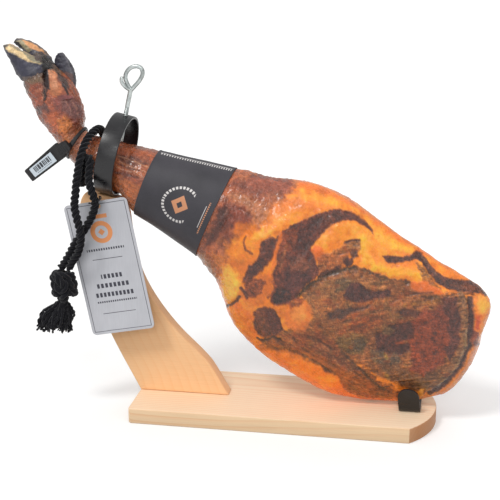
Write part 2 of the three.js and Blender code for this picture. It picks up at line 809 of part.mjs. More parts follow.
// ---------------------------------------------------------------- ankle seal
{
  const rows = [];
  const between = (u, out) => {
    const i = Math.floor(u),
      a = hamRing(i, HAM_SIDES, out),
      b = hamRing(i + 1, HAM_SIDES, out);
    return a.map((p, j) => p.clone().lerp(b[j], u - i));
  };
  const us = [10.05, 10.25, 10.45];
  const outer = us.map((u) => between(u, 2.6));
  const inner = us.map((u) => between(u, 0.6));
  add("seal_strap", loft(outer.concat(inner.reverse()), true), plastic);

  // The plate lies on a plane that faces the carved side. Its long edge runs
  // down and away from the ankle.
  const yPlate = -33;
  const s = new THREE.Shape();
  const P = [
    [-332, 316],
    [-320, 304],
    [-276, 338],
    [-287, 359],
  ];
  const dx = V(P[2][0] - P[1][0], 0, P[2][1] - P[1][1]).normalize();
  const dz = V(-dx.z, 0, dx.x);
  const o = V(-326, 0, 310);
  // Local axes: l along the plate, t across it.
  const L = (l, t) => [o.x + dx.x * l + dz.x * t, o.z + dx.z * l + dz.z * t];
  const path = [
    [0, -8.6],
    [55, -9.6],
    [58, -8.5],
    [58, 10.5],
    [55, 11.5],
    [0, 8.6],
    [-1, 7.6],
    [-1, -7.6],
  ].map(([l, t]) => L(l, t));
  path.forEach(([x, z], i) => (i ? s.lineTo(x, z) : s.moveTo(x, z)));
  s.closePath();
  const plate = solid(plateXZ(s, yPlate - 1.2, yPlate + 1.2));
  const box = new THREE.Shape();
  [
    [50, -7.5],
    [67, -6.5],
    [68, -5],
    [68, 6],
    [66.5, 7.5],
    [50, 9.5],
  ]
    .map(([l, t]) => L(l, t))
    .forEach(([x, z], i) => (i ? box.lineTo(x, z) : box.moveTo(x, z)));
  box.closePath();
  const lock = solid(plateXZ(box, yPlate - 4, yPlate + 4.2));
  add("seal_plate", fromSolid(plate.add(lock)), plastic);

  const st = new THREE.Shape();
  [
    [6, -6.2],
    [43, -6.8],
    [43, 6.8],
    [6, 6.2],
  ]
    .map(([l, t]) => L(l, t))
    .forEach(([x, z], i) => (i ? st.lineTo(x, z) : st.moveTo(x, z)));
  st.closePath();
  add("seal_sticker", plateXZ(st, yPlate - 2.0, yPlate - 1.5), label);
}

export default group;
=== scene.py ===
# A whole cured pork shoulder in its wooden carving stand, as a Blender scene.
# Lengths in the tables are millimetres in the part's frame; objects are in metres.
import math
import bpy
import bmesh
import numpy as np
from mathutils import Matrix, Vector


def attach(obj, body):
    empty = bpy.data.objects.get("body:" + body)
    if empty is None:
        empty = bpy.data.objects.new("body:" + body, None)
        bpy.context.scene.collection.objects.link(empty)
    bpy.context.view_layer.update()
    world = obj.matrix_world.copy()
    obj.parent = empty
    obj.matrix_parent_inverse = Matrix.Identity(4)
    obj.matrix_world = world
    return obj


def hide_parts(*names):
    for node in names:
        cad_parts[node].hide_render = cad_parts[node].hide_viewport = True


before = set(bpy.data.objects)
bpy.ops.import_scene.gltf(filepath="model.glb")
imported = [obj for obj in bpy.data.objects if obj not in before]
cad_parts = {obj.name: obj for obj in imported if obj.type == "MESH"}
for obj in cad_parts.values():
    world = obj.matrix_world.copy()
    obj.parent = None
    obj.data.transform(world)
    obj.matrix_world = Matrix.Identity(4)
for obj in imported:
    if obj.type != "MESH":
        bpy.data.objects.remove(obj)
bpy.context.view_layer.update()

scene = bpy.context.scene


# =============================================================== numpy helpers
def unit(v):
    v = np.asarray(v, float)
    n = np.linalg.norm(v, axis=-1, keepdims=True)
    return v / np.where(n < 1e-12, 1, n)


def smooth(a, b, x):
    t = np.clip((np.asarray(x, float) - a) / (b - a), 0, 1)
    return t * t * (3 - 2 * t)


def _hash(ix, iy, iz, seed):
    h = (ix * 374761393 + iy * 668265263 + iz * 1440662683 + seed * 974634777) & 0xFFFFFFFF
    h = ((h ^ (h >> 13)) * 1274126177) & 0xFFFFFFFF
    h = ((h ^ (h >> 16)) * 2246822519) & 0xFFFFFFFF
    return ((h ^ (h >> 15)) & 0xFFFFFF) / float(0xFFFFFF)


def vnoise(p, seed=0):
    """Value noise in -1..1 at the rows of p."""
    i = np.floor(p).astype(np.int64)
    f = p - i
    f = f * f * f * (f * (f * 6 - 15) + 10)
    out = np.zeros(len(p))
    for dx in (0, 1):
        for dy in (0, 1):
            for dz in (0, 1):
                w = (
                    (f[:, 0] if dx else 1 - f[:, 0])
                    * (f[:, 1] if dy else 1 - f[:, 1])
                    * (f[:, 2] if dz else 1 - f[:, 2])
                )
                out += w * _hash(i[:, 0] + dx, i[:, 1] + dy, i[:, 2] + dz, seed)
    return out * 2 - 1


def fbm(p, scale, octaves=4, seed=0, gain=0.5):
    p = np.asarray(p, float) / scale
    a, s, t = 1.0, 0.0, 0.0
    for k in range(octaves):
        s = s + a * vnoise(p + 17.3 * k, seed + 7 * k)
        t += a
        a *= gain
        p = p * 2.03
    return s / t * 1.6


def catmull(points, n, closed=False, alpha=0.5):
    """n points evenly spaced along a centripetal Catmull-Rom curve."""
    P = [np.asarray(p, float) for p in points]
    m = len(P)
    segs = m if closed else m - 1
    fine = []
    per = max(8, int(4 * n / segs))
    for i in range(segs):
        if closed:
            a, b, c, d = P[(i - 1) % m], P[i], P[(i + 1) % m], P[(i + 2) % m]
        else:
            b, c = P[i], P[i + 1]
            a = P[i - 1] if i else b + (b - c)
            d = P[i + 2] if i + 2 < m else c + (c - b)
        t0 = 0.0
        t1 = t0 + max(np.linalg.norm(b - a), 1e-6) ** alpha
        t2 = t1 + max(np.linalg.norm(c - b), 1e-6) ** alpha
        t3 = t2 + max(np.linalg.norm(d - c), 1e-6) ** alpha
        for k in range(per):
            t = t1 + (t2 - t1) * k / per
            A1 = (t1 - t) / (t1 - t0) * a + (t - t0) / (t1 - t0) * b
            A2 = (t2 - t) / (t2 - t1) * b + (t - t1) / (t2 - t1) * c
            A3 = (t3 - t) / (t3 - t2) * c + (t - t2) / (t3 - t2) * d
            B1 = (t2 - t) / (t2 - t0) * A1 + (t - t0) / (t2 - t0) * A2
            B2 = (t3 - t) / (t3 - t1) * A2 + (t - t1) / (t3 - t1) * A3
            fine.append((t2 - t) / (t2 - t1) * B1 + (t - t1) / (t2 - t1) * B2)
    fine.append(P[0] if closed else P[-1])
    fine = np.array(fine)
    d = np.r_[0, np.cumsum(np.linalg.norm(np.diff(fine, axis=0), axis=1))]
    u = np.linspace(0, d[-1], n + 1 if closed else n)
    out = np.stack([np.interp(u, d, fine[:, k]) for k in range(3)], 1)
    return out[:-1] if closed else out


def frames(path, closed=False, first=None):
    """Tangents and two normals along a path, with as little twist as can be."""
    path = np.asarray(path, float)
    if closed:
        tan = unit(np.roll(path, -1, 0) - np.roll(path, 1, 0))
    else:
        tan = unit(np.gradient(path, axis=0))
    ref = np.array(first if first is not None else (0, 1, 0), float)
    if abs(ref @ tan[0]) > 0.95:
        ref = np.array((1.0, 0, 0))
    n = unit(ref - tan[0] * (ref @ tan[0]))
    N = [n]
    for i in range(1, len(path)):
        n = N[-1] - tan[i] * (N[-1] @ tan[i])
        N.append(unit(n))
    N = np.array(N)
    B = np.cross(tan, N)
    if closed:
        # Spread the leftover twist evenly.
        e = N[-1] - tan[0] * (N[-1] @ tan[0])
        ang = math.atan2(float(e @ B[0]), float(e @ N[0]))
        k = -ang * np.arange(len(path)) / len(path)
        N, B = (
            N * np.cos(k)[:, None] + B * np.sin(k)[:, None],
            B * np.cos(k)[:, None] - N * np.sin(k)[:, None],
        )
    return tan, N, B


# ================================================================ mesh helpers
def make(name, verts_mm, faces, smooth_shade=True):
    me = bpy.data.meshes.new(name)
    me.from_pydata((np.asarray(verts_mm, float) / 1000).tolist(), [], faces)
    me.validate()
    bm = bmesh.new()
    bm.from_mesh(me)
    bmesh.ops.recalc_face_normals(bm, faces=bm.faces)
    bm.to_mesh(me)
    bm.free()
    for p in me.polygons:
        p.use_smooth = smooth_shade
    ob = bpy.data.objects.new(name, me)
    scene.collection.objects.link(ob)
    return ob


def loft_faces(n, m, closed=False, caps=True, base=0, wrap=True):
    f = []
    for i in range(n if closed else n - 1):
        a, b = base + i * m, base + ((i + 1) % n) * m
        for j in range(m if wrap else m - 1):
            k = (j + 1) % m
            f.append((a + j, a + k, b + k, b + j))
    if caps and not closed:
        f.append(tuple(base + j for j in reversed(range(m))))
        f.append(tuple(base + (n - 1) * m + j for j in range(m)))
    return f


class Pile:
    """Several lofted skins in one mesh."""

    def __init__(self):
        self.v, self.f = [], []

    def loft(self, rings, closed=False, caps=True):
        rings = np.asarray(rings, float)
        n, m = rings.shape[:2]
        base = sum(len(x) for x in self.v)
        self.v.append(rings.reshape(-1, 3))
        self.f += loft_faces(n, m, closed, caps, base)

    def tube(self, path, radius, sides=12, closed=False, first=None, shape=None):
        path = np.asarray(path, float)
        t, N, B = frames(path, closed, first)
        r = np.broadcast_to(np.asarray(radius, float), (len(path),))
        a = np.linspace(0, 2 * np.pi, sides, endpoint=False)
        k = np.ones((len(path), sides)) if shape is None else shape
        rings = path[:, None] + (r[:, None] * k)[..., None] * (
            N[:, None] * np.cos(a)[None, :, None] + B[:, None] * np.sin(a)[None, :, None]
        )
        self.loft(rings, closed)

    def done(self, name, smooth_shade=True):
        return make(name, np.concatenate(self.v), self.f, smooth_shade)


def strand_shape(path, sides, pitch, lobes=3, hole=0.27, lobe=0.25, d=10.0, closed=False, turn=0.0):
    """Radius factors (times d) of a rope laid from round strands."""
    path = np.asarray(path, float)
    s = np.r_[0, np.cumsum(np.linalg.norm(np.diff(path, axis=0), axis=1))]
    if closed:
        total = s[-1] + np.linalg.norm(path[0] - path[-1])
        turns = round(total / pitch / (1 / lobes) ) / lobes if pitch else 0
        phase = 2 * np.pi * turns * s / total
    else:
        phase = 2 * np.pi * s / pitch
    a = np.linspace(0, 2 * np.pi, sides, endpoint=False)
    ang = (a[None] - phase[:, None] + turn) % (2 * np.pi / lobes) - np.pi / lobes
    rh, rs = hole * d, lobe * d
    return rh * np.cos(ang) + np.sqrt(np.maximum(rs**2 - (rh * np.sin(ang)) ** 2, 0.0)), s


def face_smooth(ob, angle=35):
    """Smooth shading with sharp edges over an angle."""
    me = ob.data
    bm = bmesh.new()
    bm.from_mesh(me)
    for f in bm.faces:
        f.smooth = True
    lim = math.radians(angle)
    for e in bm.edges:
        if len(e.link_faces) == 2 and e.calc_face_angle(0) > lim:
            e.smooth = False
    bm.to_mesh(me)
    bm.free()
    return ob


def apply_mods(ob):
    dg = bpy.context.evaluated_depsgraph_get()
    me = bpy.data.meshes.new_from_object(ob.evaluated_get(dg), depsgraph=dg)
    me.name = ob.data.name + "_m"
    ob.modifiers.clear()
    ob.data = me
    return ob


def cut(ob, *cutters):
    for c in cutters:
        m = ob.modifiers.new("cut", "BOOLEAN")
        m.operation, m.object, m.solver = "DIFFERENCE", c, "EXACT"
    apply_mods(ob)
    for c in cutters:
        bpy.data.objects.remove(c)
    return ob


def bevelled(ob, width_mm, segments=3, angle=40):
    m = ob.modifiers.new("bevel", "BEVEL")
    m.width, m.segments, m.limit_method, m.angle_limit = (
        width_mm / 1000,
        segments,
        "ANGLE",
        math.radians(angle),
    )
    m.use_clamp_overlap = True
    return apply_mods(ob)


def lathe(base, axis, rows, sides=32, name="lathe"):
    base, axis = np.asarray(base, float), unit(axis)
    ref = np.array((1.0, 0, 0)) if abs(axis[0]) < 0.9 else np.array((0, 1.0, 0))
    n = unit(ref - axis * (ref @ axis))
    b = np.cross(axis, n)
    a = np.linspace(0, 2 * np.pi, sides, endpoint=False)
    rings = [
        base + axis * h + max(r, 0.01) * (np.cos(a)[:, None] * n + np.sin(a)[:, None] * b)
        for r, h in rows
    ]
    p = Pile()
    p.loft(rings)
    return p.done(name)


def extrude_xz(outline, y0, y1, name):
    o = np.asarray(outline, float)
    n = len(o)
    v = [(x, y0, z) for x, z in o] + [(x, y1, z) for x, z in o]
    f = [tuple(range(n)), tuple(n + i for i in reversed(range(n)))]
    f += [(i, n + i, n + (i + 1) % n, (i + 1) % n) for i in range(n)]
    return make(name, v, f, False)


def attribute(ob, name, values, kind="FLOAT"):
    at = ob.data.attributes.new(name, kind, "POINT")
    values = np.asarray(values, np.float32)
    if kind == "FLOAT_COLOR":
        values = np.concatenate([values, np.ones((len(values), 1), np.float32)], 1)
        at.data.foreach_set("color", values.ravel())
    elif kind == "FLOAT_VECTOR":
        at.data.foreach_set("vector", values.ravel())
    else:
        at.data.foreach_set("value", values.ravel())


def lin(c):
    c = np.asarray(c, float) / 255
    return np.where(c <= 0.04045, c / 12.92, ((c + 0.055) / 1.055) ** 2.4)


# ============================================================ material helpers
class Mat:
    """A small builder for node materials."""

    def __init__(self, name, **shader):
        self.m = bpy.data.materials.new(name)
        self.m.use_nodes = True
        self.nt = self.m.node_tree
        self.nt.nodes.clear()
        self.out = self.nt.nodes.new("ShaderNodeOutputMaterial")
        self.bsdf = self.nt.nodes.new("ShaderNodeBsdfPrincipled")
        self.nt.links.new(self.bsdf.outputs[0], self.out.inputs[0])
        for k, v in shader.items():
            self.set(k.replace("_", " ").title() if k not in self.bsdf.inputs else k, v)
        self._co = None

    def set(self, key, value):
        names = {
            "Ior": "IOR",
            "Specular": "Specular IOR Level",
            "Coat": "Coat Weight",
            "Sheen": "Sheen Weight",
            "Subsurface": "Subsurface Weight",
            "Colour": "Base Color",
        }
        s = self.bsdf.inputs[names.get(key, key)]
        if hasattr(value, "is_output") or isinstance(value, bpy.types.NodeSocket):
            self.nt.links.new(value, s)
        elif s.type == "RGBA":
            s.default_value = (*[float(x) for x in value][:3], 1)
        else:
            s.default_value = value
        return self

    def node(self, kind, inputs=(), **props):
        n = self.nt.nodes.new("ShaderNode" + kind)
        for k, v in props.items():
            setattr(n, k, v)
        for k, v in dict(inputs).items():
            s = n.inputs[k]
            if isinstance(v, bpy.types.NodeSocket):
                self.nt.links.new(v, s)
            elif s.type == "RGBA" and len(v) == 3:
                s.default_value = (*[float(x) for x in v], 1)
            else:
                s.default_value = v
        return n

    @property
    def co(self):
        if self._co is None:
            self._co = self.node("TexCoord").outputs["Object"]
        return self._co

    def math(self, op, a, b=0.0, c=0.0, clamp=False):
        n = self.node("Math", {0: a, 1: b, 2: c}, operation=op, use_clamp=clamp)
        return n.outputs[0]

    def attr(self, name, out="Fac"):
        return self.node("Attribute", attribute_name=name).outputs[out]

    def mapping(self, scale=(1, 1, 1), rot=(0, 0, 0), loc=(0, 0, 0), src=None):
        return self.node(
            "Mapping",
            {"Vector": src or self.co, "Scale": scale, "Rotation": rot, "Location": loc},
        ).outputs[0]

    def noise(self, scale, detail=4, rough=0.55, src=None, distortion=0.0, out="Fac"):
        return self.node(
            "TexNoise",
            {
                "Vector": src or self.co,
                "Scale": scale,
                "Detail": detail,
                "Roughness": rough,
                "Distortion": distortion,
            },
        ).outputs[out]

    def voronoi(self, scale, feature="F1", src=None, out="Distance", rand=1.0):
        return self.node(
            "TexVoronoi", {"Vector": src or self.co, "Scale": scale, "Randomness": rand}, feature=feature
        ).outputs[out]

    def ramp(self, fac, stops, interp="LINEAR"):
        n = self.node("ValToRGB", {"Fac": fac})
        r = n.color_ramp
        r.interpolation = interp
        while len(r.elements) < len(stops):
            r.elements.new(0.5)
        for e, (p, c) in zip(r.elements, stops):
            e.position = p
            e.color = (*c, 1) if len(c) == 3 else c
        return n.outputs[0]

    def rng(self, v, a, b, c=0.0, d=1.0, kind="LINEAR"):
        return self.node(
            "MapRange",
            {"Value": v, "From Min": a, "From Max": b, "To Min": c, "To Max": d},
            interpolation_type=kind,
        ).outputs[0]

    def mix(self, fac, a, b, blend="MIX"):
        n = self.node("Mix", data_type="RGBA", blend_type=blend)
        n.clamp_factor = True
        for s, v in ((n.inputs[0], fac), (n.inputs[6], a), (n.inputs[7], b)):
            if isinstance(v, bpy.types.NodeSocket):
                self.nt.links.new(v, s)
            elif s.type == "RGBA":
                s.default_value = (*[float(x) for x in v][:3], 1)
            else:
                s.default_value = v
        return n.outputs[2]

    def bump(self, height, strength=0.3, distance=0.001, normal=None):
        i = {"Height": height, "Strength": strength, "Distance": distance}
        n = self.node("Bump", i)
        if normal is not None:
            self.nt.links.new(normal, n.inputs["Normal"])
        return n.outputs[0]

    def on(self, *obs):
        for o in obs:
            o.data.materials.clear()
            o.data.materials.append(self.m)
        return self


def assign_cad(name, mat):
    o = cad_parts[name]
    if not o.material_slots:
        o.data.materials.append(mat.m)
    for s in o.material_slots:
        s.material = mat.m


# ==================================================================== camera
cam = bpy.data.objects.new("camera", bpy.data.cameras.new("camera"))
scene.collection.objects.link(cam)
scene.camera = cam
AZ, EL = math.radians(10.0), math.radians(16.0)
cam_back = Vector(
    (math.sin(AZ) * math.cos(EL), -math.cos(AZ) * math.cos(EL), math.sin(EL))
)
cam.location = Vector((-0.049, 0, 0.217)) + cam_back * 1.524
cam.rotation_mode = "QUATERNION"
cam.rotation_quaternion = (-cam_back).to_track_quat("-Z", "Y")
cam.data.sensor_width = 36
cam.data.lens = 86.4
cam.data.clip_start, cam.data.clip_end = 0.05, 50

# ====================================================================== rope
ROPE = np.array(
    [
        (-273, -50, 196), (-268, -53, 205), (-258, -58, 219), (-252.5, -61, 236),
        (-252.5, -62, 250), (-256.5, -60, 264), (-260, -57, 280), (-258.5, -55.5, 296),
        (-257.5, -52.5, 310), (-256, -49.5, 323), (-254.5, -46, 335), (-252.5, -39.5, 346),
        (-250, -29, 356.5), (-246, -14, 364.5), (-243.5, 2, 366), (-243.5, 17, 359.5),
        (-246.5, 28, 346.5), (-251, 32, 330), (-257.5, 27, 313), (-262, 13, 300.5),
        (-264, -3, 297.5), (-263, -18, 300.5), (-260, -29, 308.5), (-256.3, -33, 320.5),
        (-251.5, -34.8, 331.5), (-246.3, -37.2, 337.3), (-242.8, -41, 333.5), (-243, -45, 323),
        (-243, -48, 311.5), (-240.8, -49, 300.5), (-237.8, -48.5, 290.5), (-236.3, -48, 282),
        (-238.5, -48, 271), (-245, -49, 257), (-254, -49, 243), (-264, -49, 229),
        (-272, -49.5, 214), (-280, -50, 201), (-284, -50, 196),
    ],
    float,
)
rope_path = catmull(ROPE, 620)


def laid_rope(pile, path, d, sides=30, pitch=21.0, closed=False, seed=3, fine=True, turn=0.0):
    """A rope of three round strands, each with the fine twist of its yarns."""
    r, s = strand_shape(path, sides, pitch, d=d, closed=closed, turn=turn)
    a = np.linspace(0, 2 * np.pi, sides, endpoint=False)
    if fine:
        # Yarns wind the other way inside each strand.
        yarn = np.cos(9 * a[None] + 2 * np.pi * s[:, None] / 3.1)
        q = np.stack(
            [s[:, None] / 2.2 + 0 * a[None], 3 * np.cos(a)[None] + 0 * s[:, None], 3 * np.sin(a)[None] + 0 * s[:, None]],
            -1,
        ).reshape(-1, 3)
        r = r + 0.10 * yarn + 0.16 * vnoise(q, seed).reshape(r.shape)
    pile.tube(path, 1.0, sides, closed, shape=r)
    return r


pile = Pile()
laid_rope(pile, rope_path, 10.4)
rope = pile.done("rope_cord")

# The knot: three crossing turns of the same rope, drawn tight.
KNOT_C = np.array((-281.0, -50.0, 173.0))
KNOT_TURNS = [
    ([(-11, -3, 10), (2, -11, 9), (12, -2, 4), (9, 9, 0), (-4, 10, 4), (-12, 5, 8)], 0.0),
    ([(-9, -4, -9), (3, -11, -6), (13, -3, -8), (8, 9, -11), (-5, 9, -12), (-11, 4, -10)], 1.1),
    ([(-3, -11, 13), (6, -13, 2), (3, -11, -12), (-1, 2, -17), (-6, 10, -2), (-5, 3, 14)], 2.3),
    ([(-10, -5, 2), (-2, -12.5, -1), (9, -7, -2), (10, 5, -4), (-2, 9, -3), (-11, 4, 0)], 0.6),
    ([(8, -6, 14), (-5, -9, 15), (-9, 0, 14), (-4, 8, 13), (5, 7, 12), (11, 0, 12)], 0.2),
]
pile = Pile()
for pts, turn in KNOT_TURNS:
    path = catmull(KNOT_C + np.array(pts, float), 130, closed=True)
    laid_rope(pile, path, 11.6, closed=True, seed=11, turn=turn, pitch=27.0)
a = np.linspace(0, 2 * np.pi, 24, endpoint=False)
core = []
for k in np.linspace(-1, 1, 14):
    w = math.sqrt(max(0.0025, 1 - k * k))
    core.append(
        KNOT_C
        + np.stack([10.5 * w * np.cos(a), 9.5 * w * np.sin(a), 0 * a + 14 * k], 1)
    )
pile.loft(core)
# The two ends run down out of the knot as short stubs above the frayed part.
for pts in (
    [(-279, -52, 158), (-280, -53, 151), (-282, -53.5, 146), (-284, -54, 141)],
    [(-286, -47, 158), (-287, -47, 151), (-288, -47.5, 146), (-289, -48, 141)],
):
    laid_rope(pile, catmull(pts, 40), 9.6, seed=5, pitch=20)
knot = pile.done("rope_knot_turns")

# The tassel: the strands' yarns, opened out.
rng = np.random.default_rng(7)
pile = Pile()
for k in range(185):
    phi = rng.uniform(0, 2 * np.pi)
    rad = math.sqrt(rng.uniform(0.02, 1.0))
    top = np.array((-284.0, -50.3, 150.0)) + rad * np.array((6.5 * math.cos(phi), 5.5 * math.sin(phi), 0))
    top[2] += rng.uniform(-3, 1)
    reach = rng.uniform(0.72, 1.03)
    spread = np.array((22.0 * math.cos(phi) * rad, 13.0 * math.sin(phi) * rad, 0))
    end = np.array((-296.0, -52.0, 150.0 - 37.5 * reach)) + spread + rng.normal(0, 1.3, 3)
    end[2] = max(end[2], 111.5)
    mid = top * 0.5 + end * 0.5 + spread * rng.uniform(-0.06, 0.34) + rng.normal(0, 1.4, 3)
    q1 = top * 0.8 + mid * 0.2 + rng.normal(0, 0.8, 3)
    q2 = mid * 0.4 + end * 0.6 + rng.normal(0, 1.9, 3)
    path = catmull([top, q1, mid, q2, end], 26)
    s = np.linspace(0, 1, 26)
    wob = np.stack([np.sin(s * 34 + k), np.cos(s * 29 + 2 * k), 0 * s], 1) * 0.35
    r0 = rng.uniform(1.0, 2.1)
    sh = np.ones((26, 8)) + 0.16 * np.cos(
        3 * np.linspace(0, 2 * np.pi, 8, endpoint=False)[None] - s[:, None] * 40
    )
    pile.tube(path + wob, r0 * (1 - 0.35 * s**3), 8, shape=sh)
tassel = pile.done("rope_tassel_yarns")
for o, n in ((rope, "rope"), (knot, "rope_knot"), (tassel, "rope_tassel")):
    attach(o, "stand")
    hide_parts(n)

# ======================================================================= ham
# [topX, topZ, bottomX, bottomZ, nearHalf, farHalf, centreY, topPower, bottomPower]
HAM = np.array(
    [
        (-318, 462, -334, 446, 12, 12, 0, 2.0, 2.0),
        (-309, 457, -339, 437, 21, 21, 0, 2.2, 2.2),
        (-301, 448, -337, 425, 25, 25, 0, 2.2, 2.2),
        (-293, 439, -333, 411, 27, 27, 0, 2.2, 2.2),
        (-283, 431, -328, 401, 28, 28, 0, 2.1, 2.1),
        (-275, 421, -325, 392, 29, 29, 0, 2.0, 2.0),
        (-269, 409, -321, 383, 29, 29, 0, 2.0, 2.0),
        (-265, 397, -316, 373, 28, 28, 0, 2.0, 2.0),
        (-262, 387, -308, 364, 26, 26, 0, 2.0, 2.0),
        (-262, 377, -299, 353, 24, 24, 0, 2.0, 2.0),
        (-263, 367, -288, 336, 22.5, 22.5, 0, 2.0, 2.0),
        (-256, 360, -274, 320, 23, 23, 0, 2.0, 2.0),
        (-247, 357, -262, 308, 25, 25, 0, 2.0, 2.0),
        (-237, 354, -246, 299, 28, 28, 0, 2.0, 2.0),
        (-225, 351.5, -231, 290.5, 31, 31, 0, 2.0, 2.0),
        (-211, 348.5, -213, 284, 34, 34, 0, 2.0, 2.0),
        (-190, 345, -203, 269, 36.5, 37, 0, 2.0, 2.0),
        (-165, 340, -196, 260, 38, 39, 0, 2.0, 2.0),
        (-135, 334, -175, 247, 40, 42, 0, 2.0, 2.0),
        (-101, 327.5, -147, 229, 42.5, 45, 0, 2.0, 2.0),
        (-67, 321, -117, 208, 44.5, 47, 0, 2.0, 2.0),
        (-49, 318, -105, 193, 45, 48, 0, 2.0, 2.0),
        (-24, 312, -92, 176, 46, 49, 0, 2.0, 2.0),
        (1, 310, -84, 155, 46.5, 51, 0, 2.05, 2.0),
        (26, 307, -78, 137, 47, 52, 0, 2.1, 2.0),
        (51, 300, -68, 116, 47, 53, 0, 2.1, 2.0),
        (77, 288, -48, 93, 47, 54, 0, 2.1, 1.95),
        (101, 272, -22, 73, 44, 50, 0, 2.1, 1.9),
        (126, 254, 8, 54, 42.5, 47.5, 0, 2.1, 1.85),
        (151, 237, 37, 39, 40.5, 45, 0, 2.1, 1.8),
        (176, 222, 66, 28.5, 38.5, 42, 0, 2.1, 1.7),
        (199, 208, 96, 24.8, 36, 38.5, 0, 2.1, 1.6),
        (220, 196, 124, 24.2, 33.5, 35, 0, 2.1, 1.5),
        (237, 186, 151, 25.2, 30.5, 31.5, 0, 2.1, 1.5),
        (247, 177, 172, 28.5, 27.5, 28, 0, 2.1, 1.55),
        (252.5, 167, 187, 33, 24, 24, 0, 2.1, 1.7),
        (254, 157, 200, 38.5, 20.5, 20, 0, 2.1, 1.8),
        (252.5, 147, 210, 46, 16.5, 16, 0, 2.0, 1.9),
        (249.5, 136, 219, 56, 12, 12, 0, 2.0, 2.0),
        (246.5, 124, 227, 69, 7.5, 7.5, 0, 2.0, 2.0),
        (243.5, 111, 234, 84, 3.2, 3.2, 0, 2.0, 2.0),
    ],
    float,
)
RELIEF_NEAR = [
    (150, 110, 62, 44, -5.5), (60, 150, 46, 30, 4.0), (40, 245, 40, 26, -4.5),
    (-20, 230, 30, 46, 3.5), (-40, 165, 26, 40, 3.0), (195, 175, 34, 22, 3.5),
    (120, 175, 44, 16, -3.5), (226, 110, 14, 50, 4.0),
]
RELIEF_FAR = [(120, 200, 70, 50, 5), (30, 150, 60, 60, 4), (-60, 260, 40, 30, 3)]
CLAWS = {
    "claw_near": [
        (-328, 424, -300, 444, 11, -13), (-335, 427.5, -305, 448, 13, -14),
        (-342, 435.5, -312, 452.5, 12.6, -14), (-347.5, 449, -323, 459, 11.2, -14.5),
        (-353.5, 460.5, -334, 464.5, 9, -15), (-357, 467.5, -343, 470, 6, -15),
        (-357.5, 471, -349, 472.5, 3, -15),
    ],
    "claw_far": [
        (-322, 428, -300, 438, 11, 13), (-324, 437, -304, 445, 12.5, 14),
        (-330, 446, -308, 454, 12.2, 14), (-337, 455, -317, 463.5, 10.8, 14),
        (-343, 462, -328, 471, 9, 13.5), (-350, 467.5, -341, 475.5, 6, 13),
        (-354.5, 471, -350, 476.5, 3, 13),
    ],
    "dewclaw_far": [
        (-296, 410, -276, 414, 7, 14), (-299, 420, -276, 425, 8, 17),
        (-301.5, 433, -277.5, 434, 8, 18), (-303.5, 444, -281, 444, 7, 18),
        (-302, 452, -286.5, 452.5, 5, 17), (-298, 458.5, -291.5, 459.5, 2.5, 16),
    ],
    "dewclaw_near": [
        (-306, 402, -268, 408, 8, -17), (-305.5, 415, -276, 420, 8.5, -20),
        (-304, 427, -284, 430, 7, -21.5), (-302.5, 436, -291, 437.5, 4.8, -21),
        (-301, 442, -297, 442.8, 2, -20),
    ],
}


def section(table, u):
    table = np.asarray(table, float)
    n = len(table) - 1
    u = np.clip(np.atleast_1d(np.asarray(u, float)), 0, n - 1e-9)
    i = np.floor(u).astype(int)
    f = (u - i)[:, None]
    p0, p1, p2, p3 = (table[np.clip(i + k, 0, n)] for k in (-1, 0, 1, 2))
    return 0.5 * (
        2 * p1
        + (p2 - p0) * f
        + (2 * p0 - 5 * p1 + 4 * p2 - p3) * f * f
        + (3 * p1 - p0 - 3 * p2 + p3) * f**3
    )


def relief(rows, x, z):
    return sum(h * np.exp(-(((x - cx) / rx) ** 2) - ((z - cz) / rz) ** 2) for cx, cz, rx, rz, h in rows)


def ham_rings(us, sides, out=0.0, shift=0.0):
    """Rings of the shoulder at stations us: points (n, sides, 3)."""
    tx, tz, bx, bz, near, far, cy, pt, pb = (c[:, None] for c in section(HAM, us).T)
    a = 2 * np.pi * (np.arange(sides) + shift)[None] / sides
    c, s = np.cos(a), np.sin(a)
    p = np.where(c > 0, pt, pb)
    h = np.sign(c) * np.abs(c) ** (2 / p)
    w = np.sign(s) * np.abs(s) ** (2 / p)
    x = (tx + bx) / 2 + (tx - bx) / 2 * h
    z = (tz + bz) / 2 + (tz - bz) / 2 * h
    bump = np.where(s > 0, relief(RELIEF_NEAR, x, z), relief(RELIEF_FAR, x, z)) * np.abs(s)
    y = cy - np.where(w > 0, (near + bump) * w, (far + bump) * w)
    q = np.stack([x, y, z], -1)
    if np.any(out):
        half = np.stack([(tx - bx) / 2, 0 * tx, (tz - bz) / 2], -1)
        L = np.linalg.norm(half, axis=-1, keepdims=True)
        nrm = unit(
            half / L * ((c + 0 * tx)[..., None] / L)
            + np.stack([0 * (w + tx), -s / np.where(w > 0, near, far), 0 * (w + tx)], -1)
        )
        q = q + nrm * (np.asarray(out)[..., None] if np.ndim(out) else out)
    return q


# Even spacing along the shoulder.
HAM_N, HAM_M = ((560, 400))
fine_u = np.linspace(0, 40, 1601)
tb = section(HAM, fine_u)
step = np.maximum(
    np.linalg.norm(np.diff(tb[:, 0:2], axis=0), axis=1),
    np.linalg.norm(np.diff(tb[:, 2:4], axis=0), axis=1),
)
step = np.maximum(step, 0.72 * np.linalg.norm(np.diff((tb[:, 0:2] + tb[:, 2:4]) / 2, axis=0), axis=1))
cum = np.r_[0, np.cumsum(step)]
us = np.interp(np.linspace(0, cum[-1], HAM_N), cum, fine_u)
G = ham_rings(us, HAM_M)
U = np.repeat(us[:, None], HAM_M, 1)
ANG = np.repeat((2 * np.pi * np.arange(HAM_M) / HAM_M)[None], HAM_N, 0)


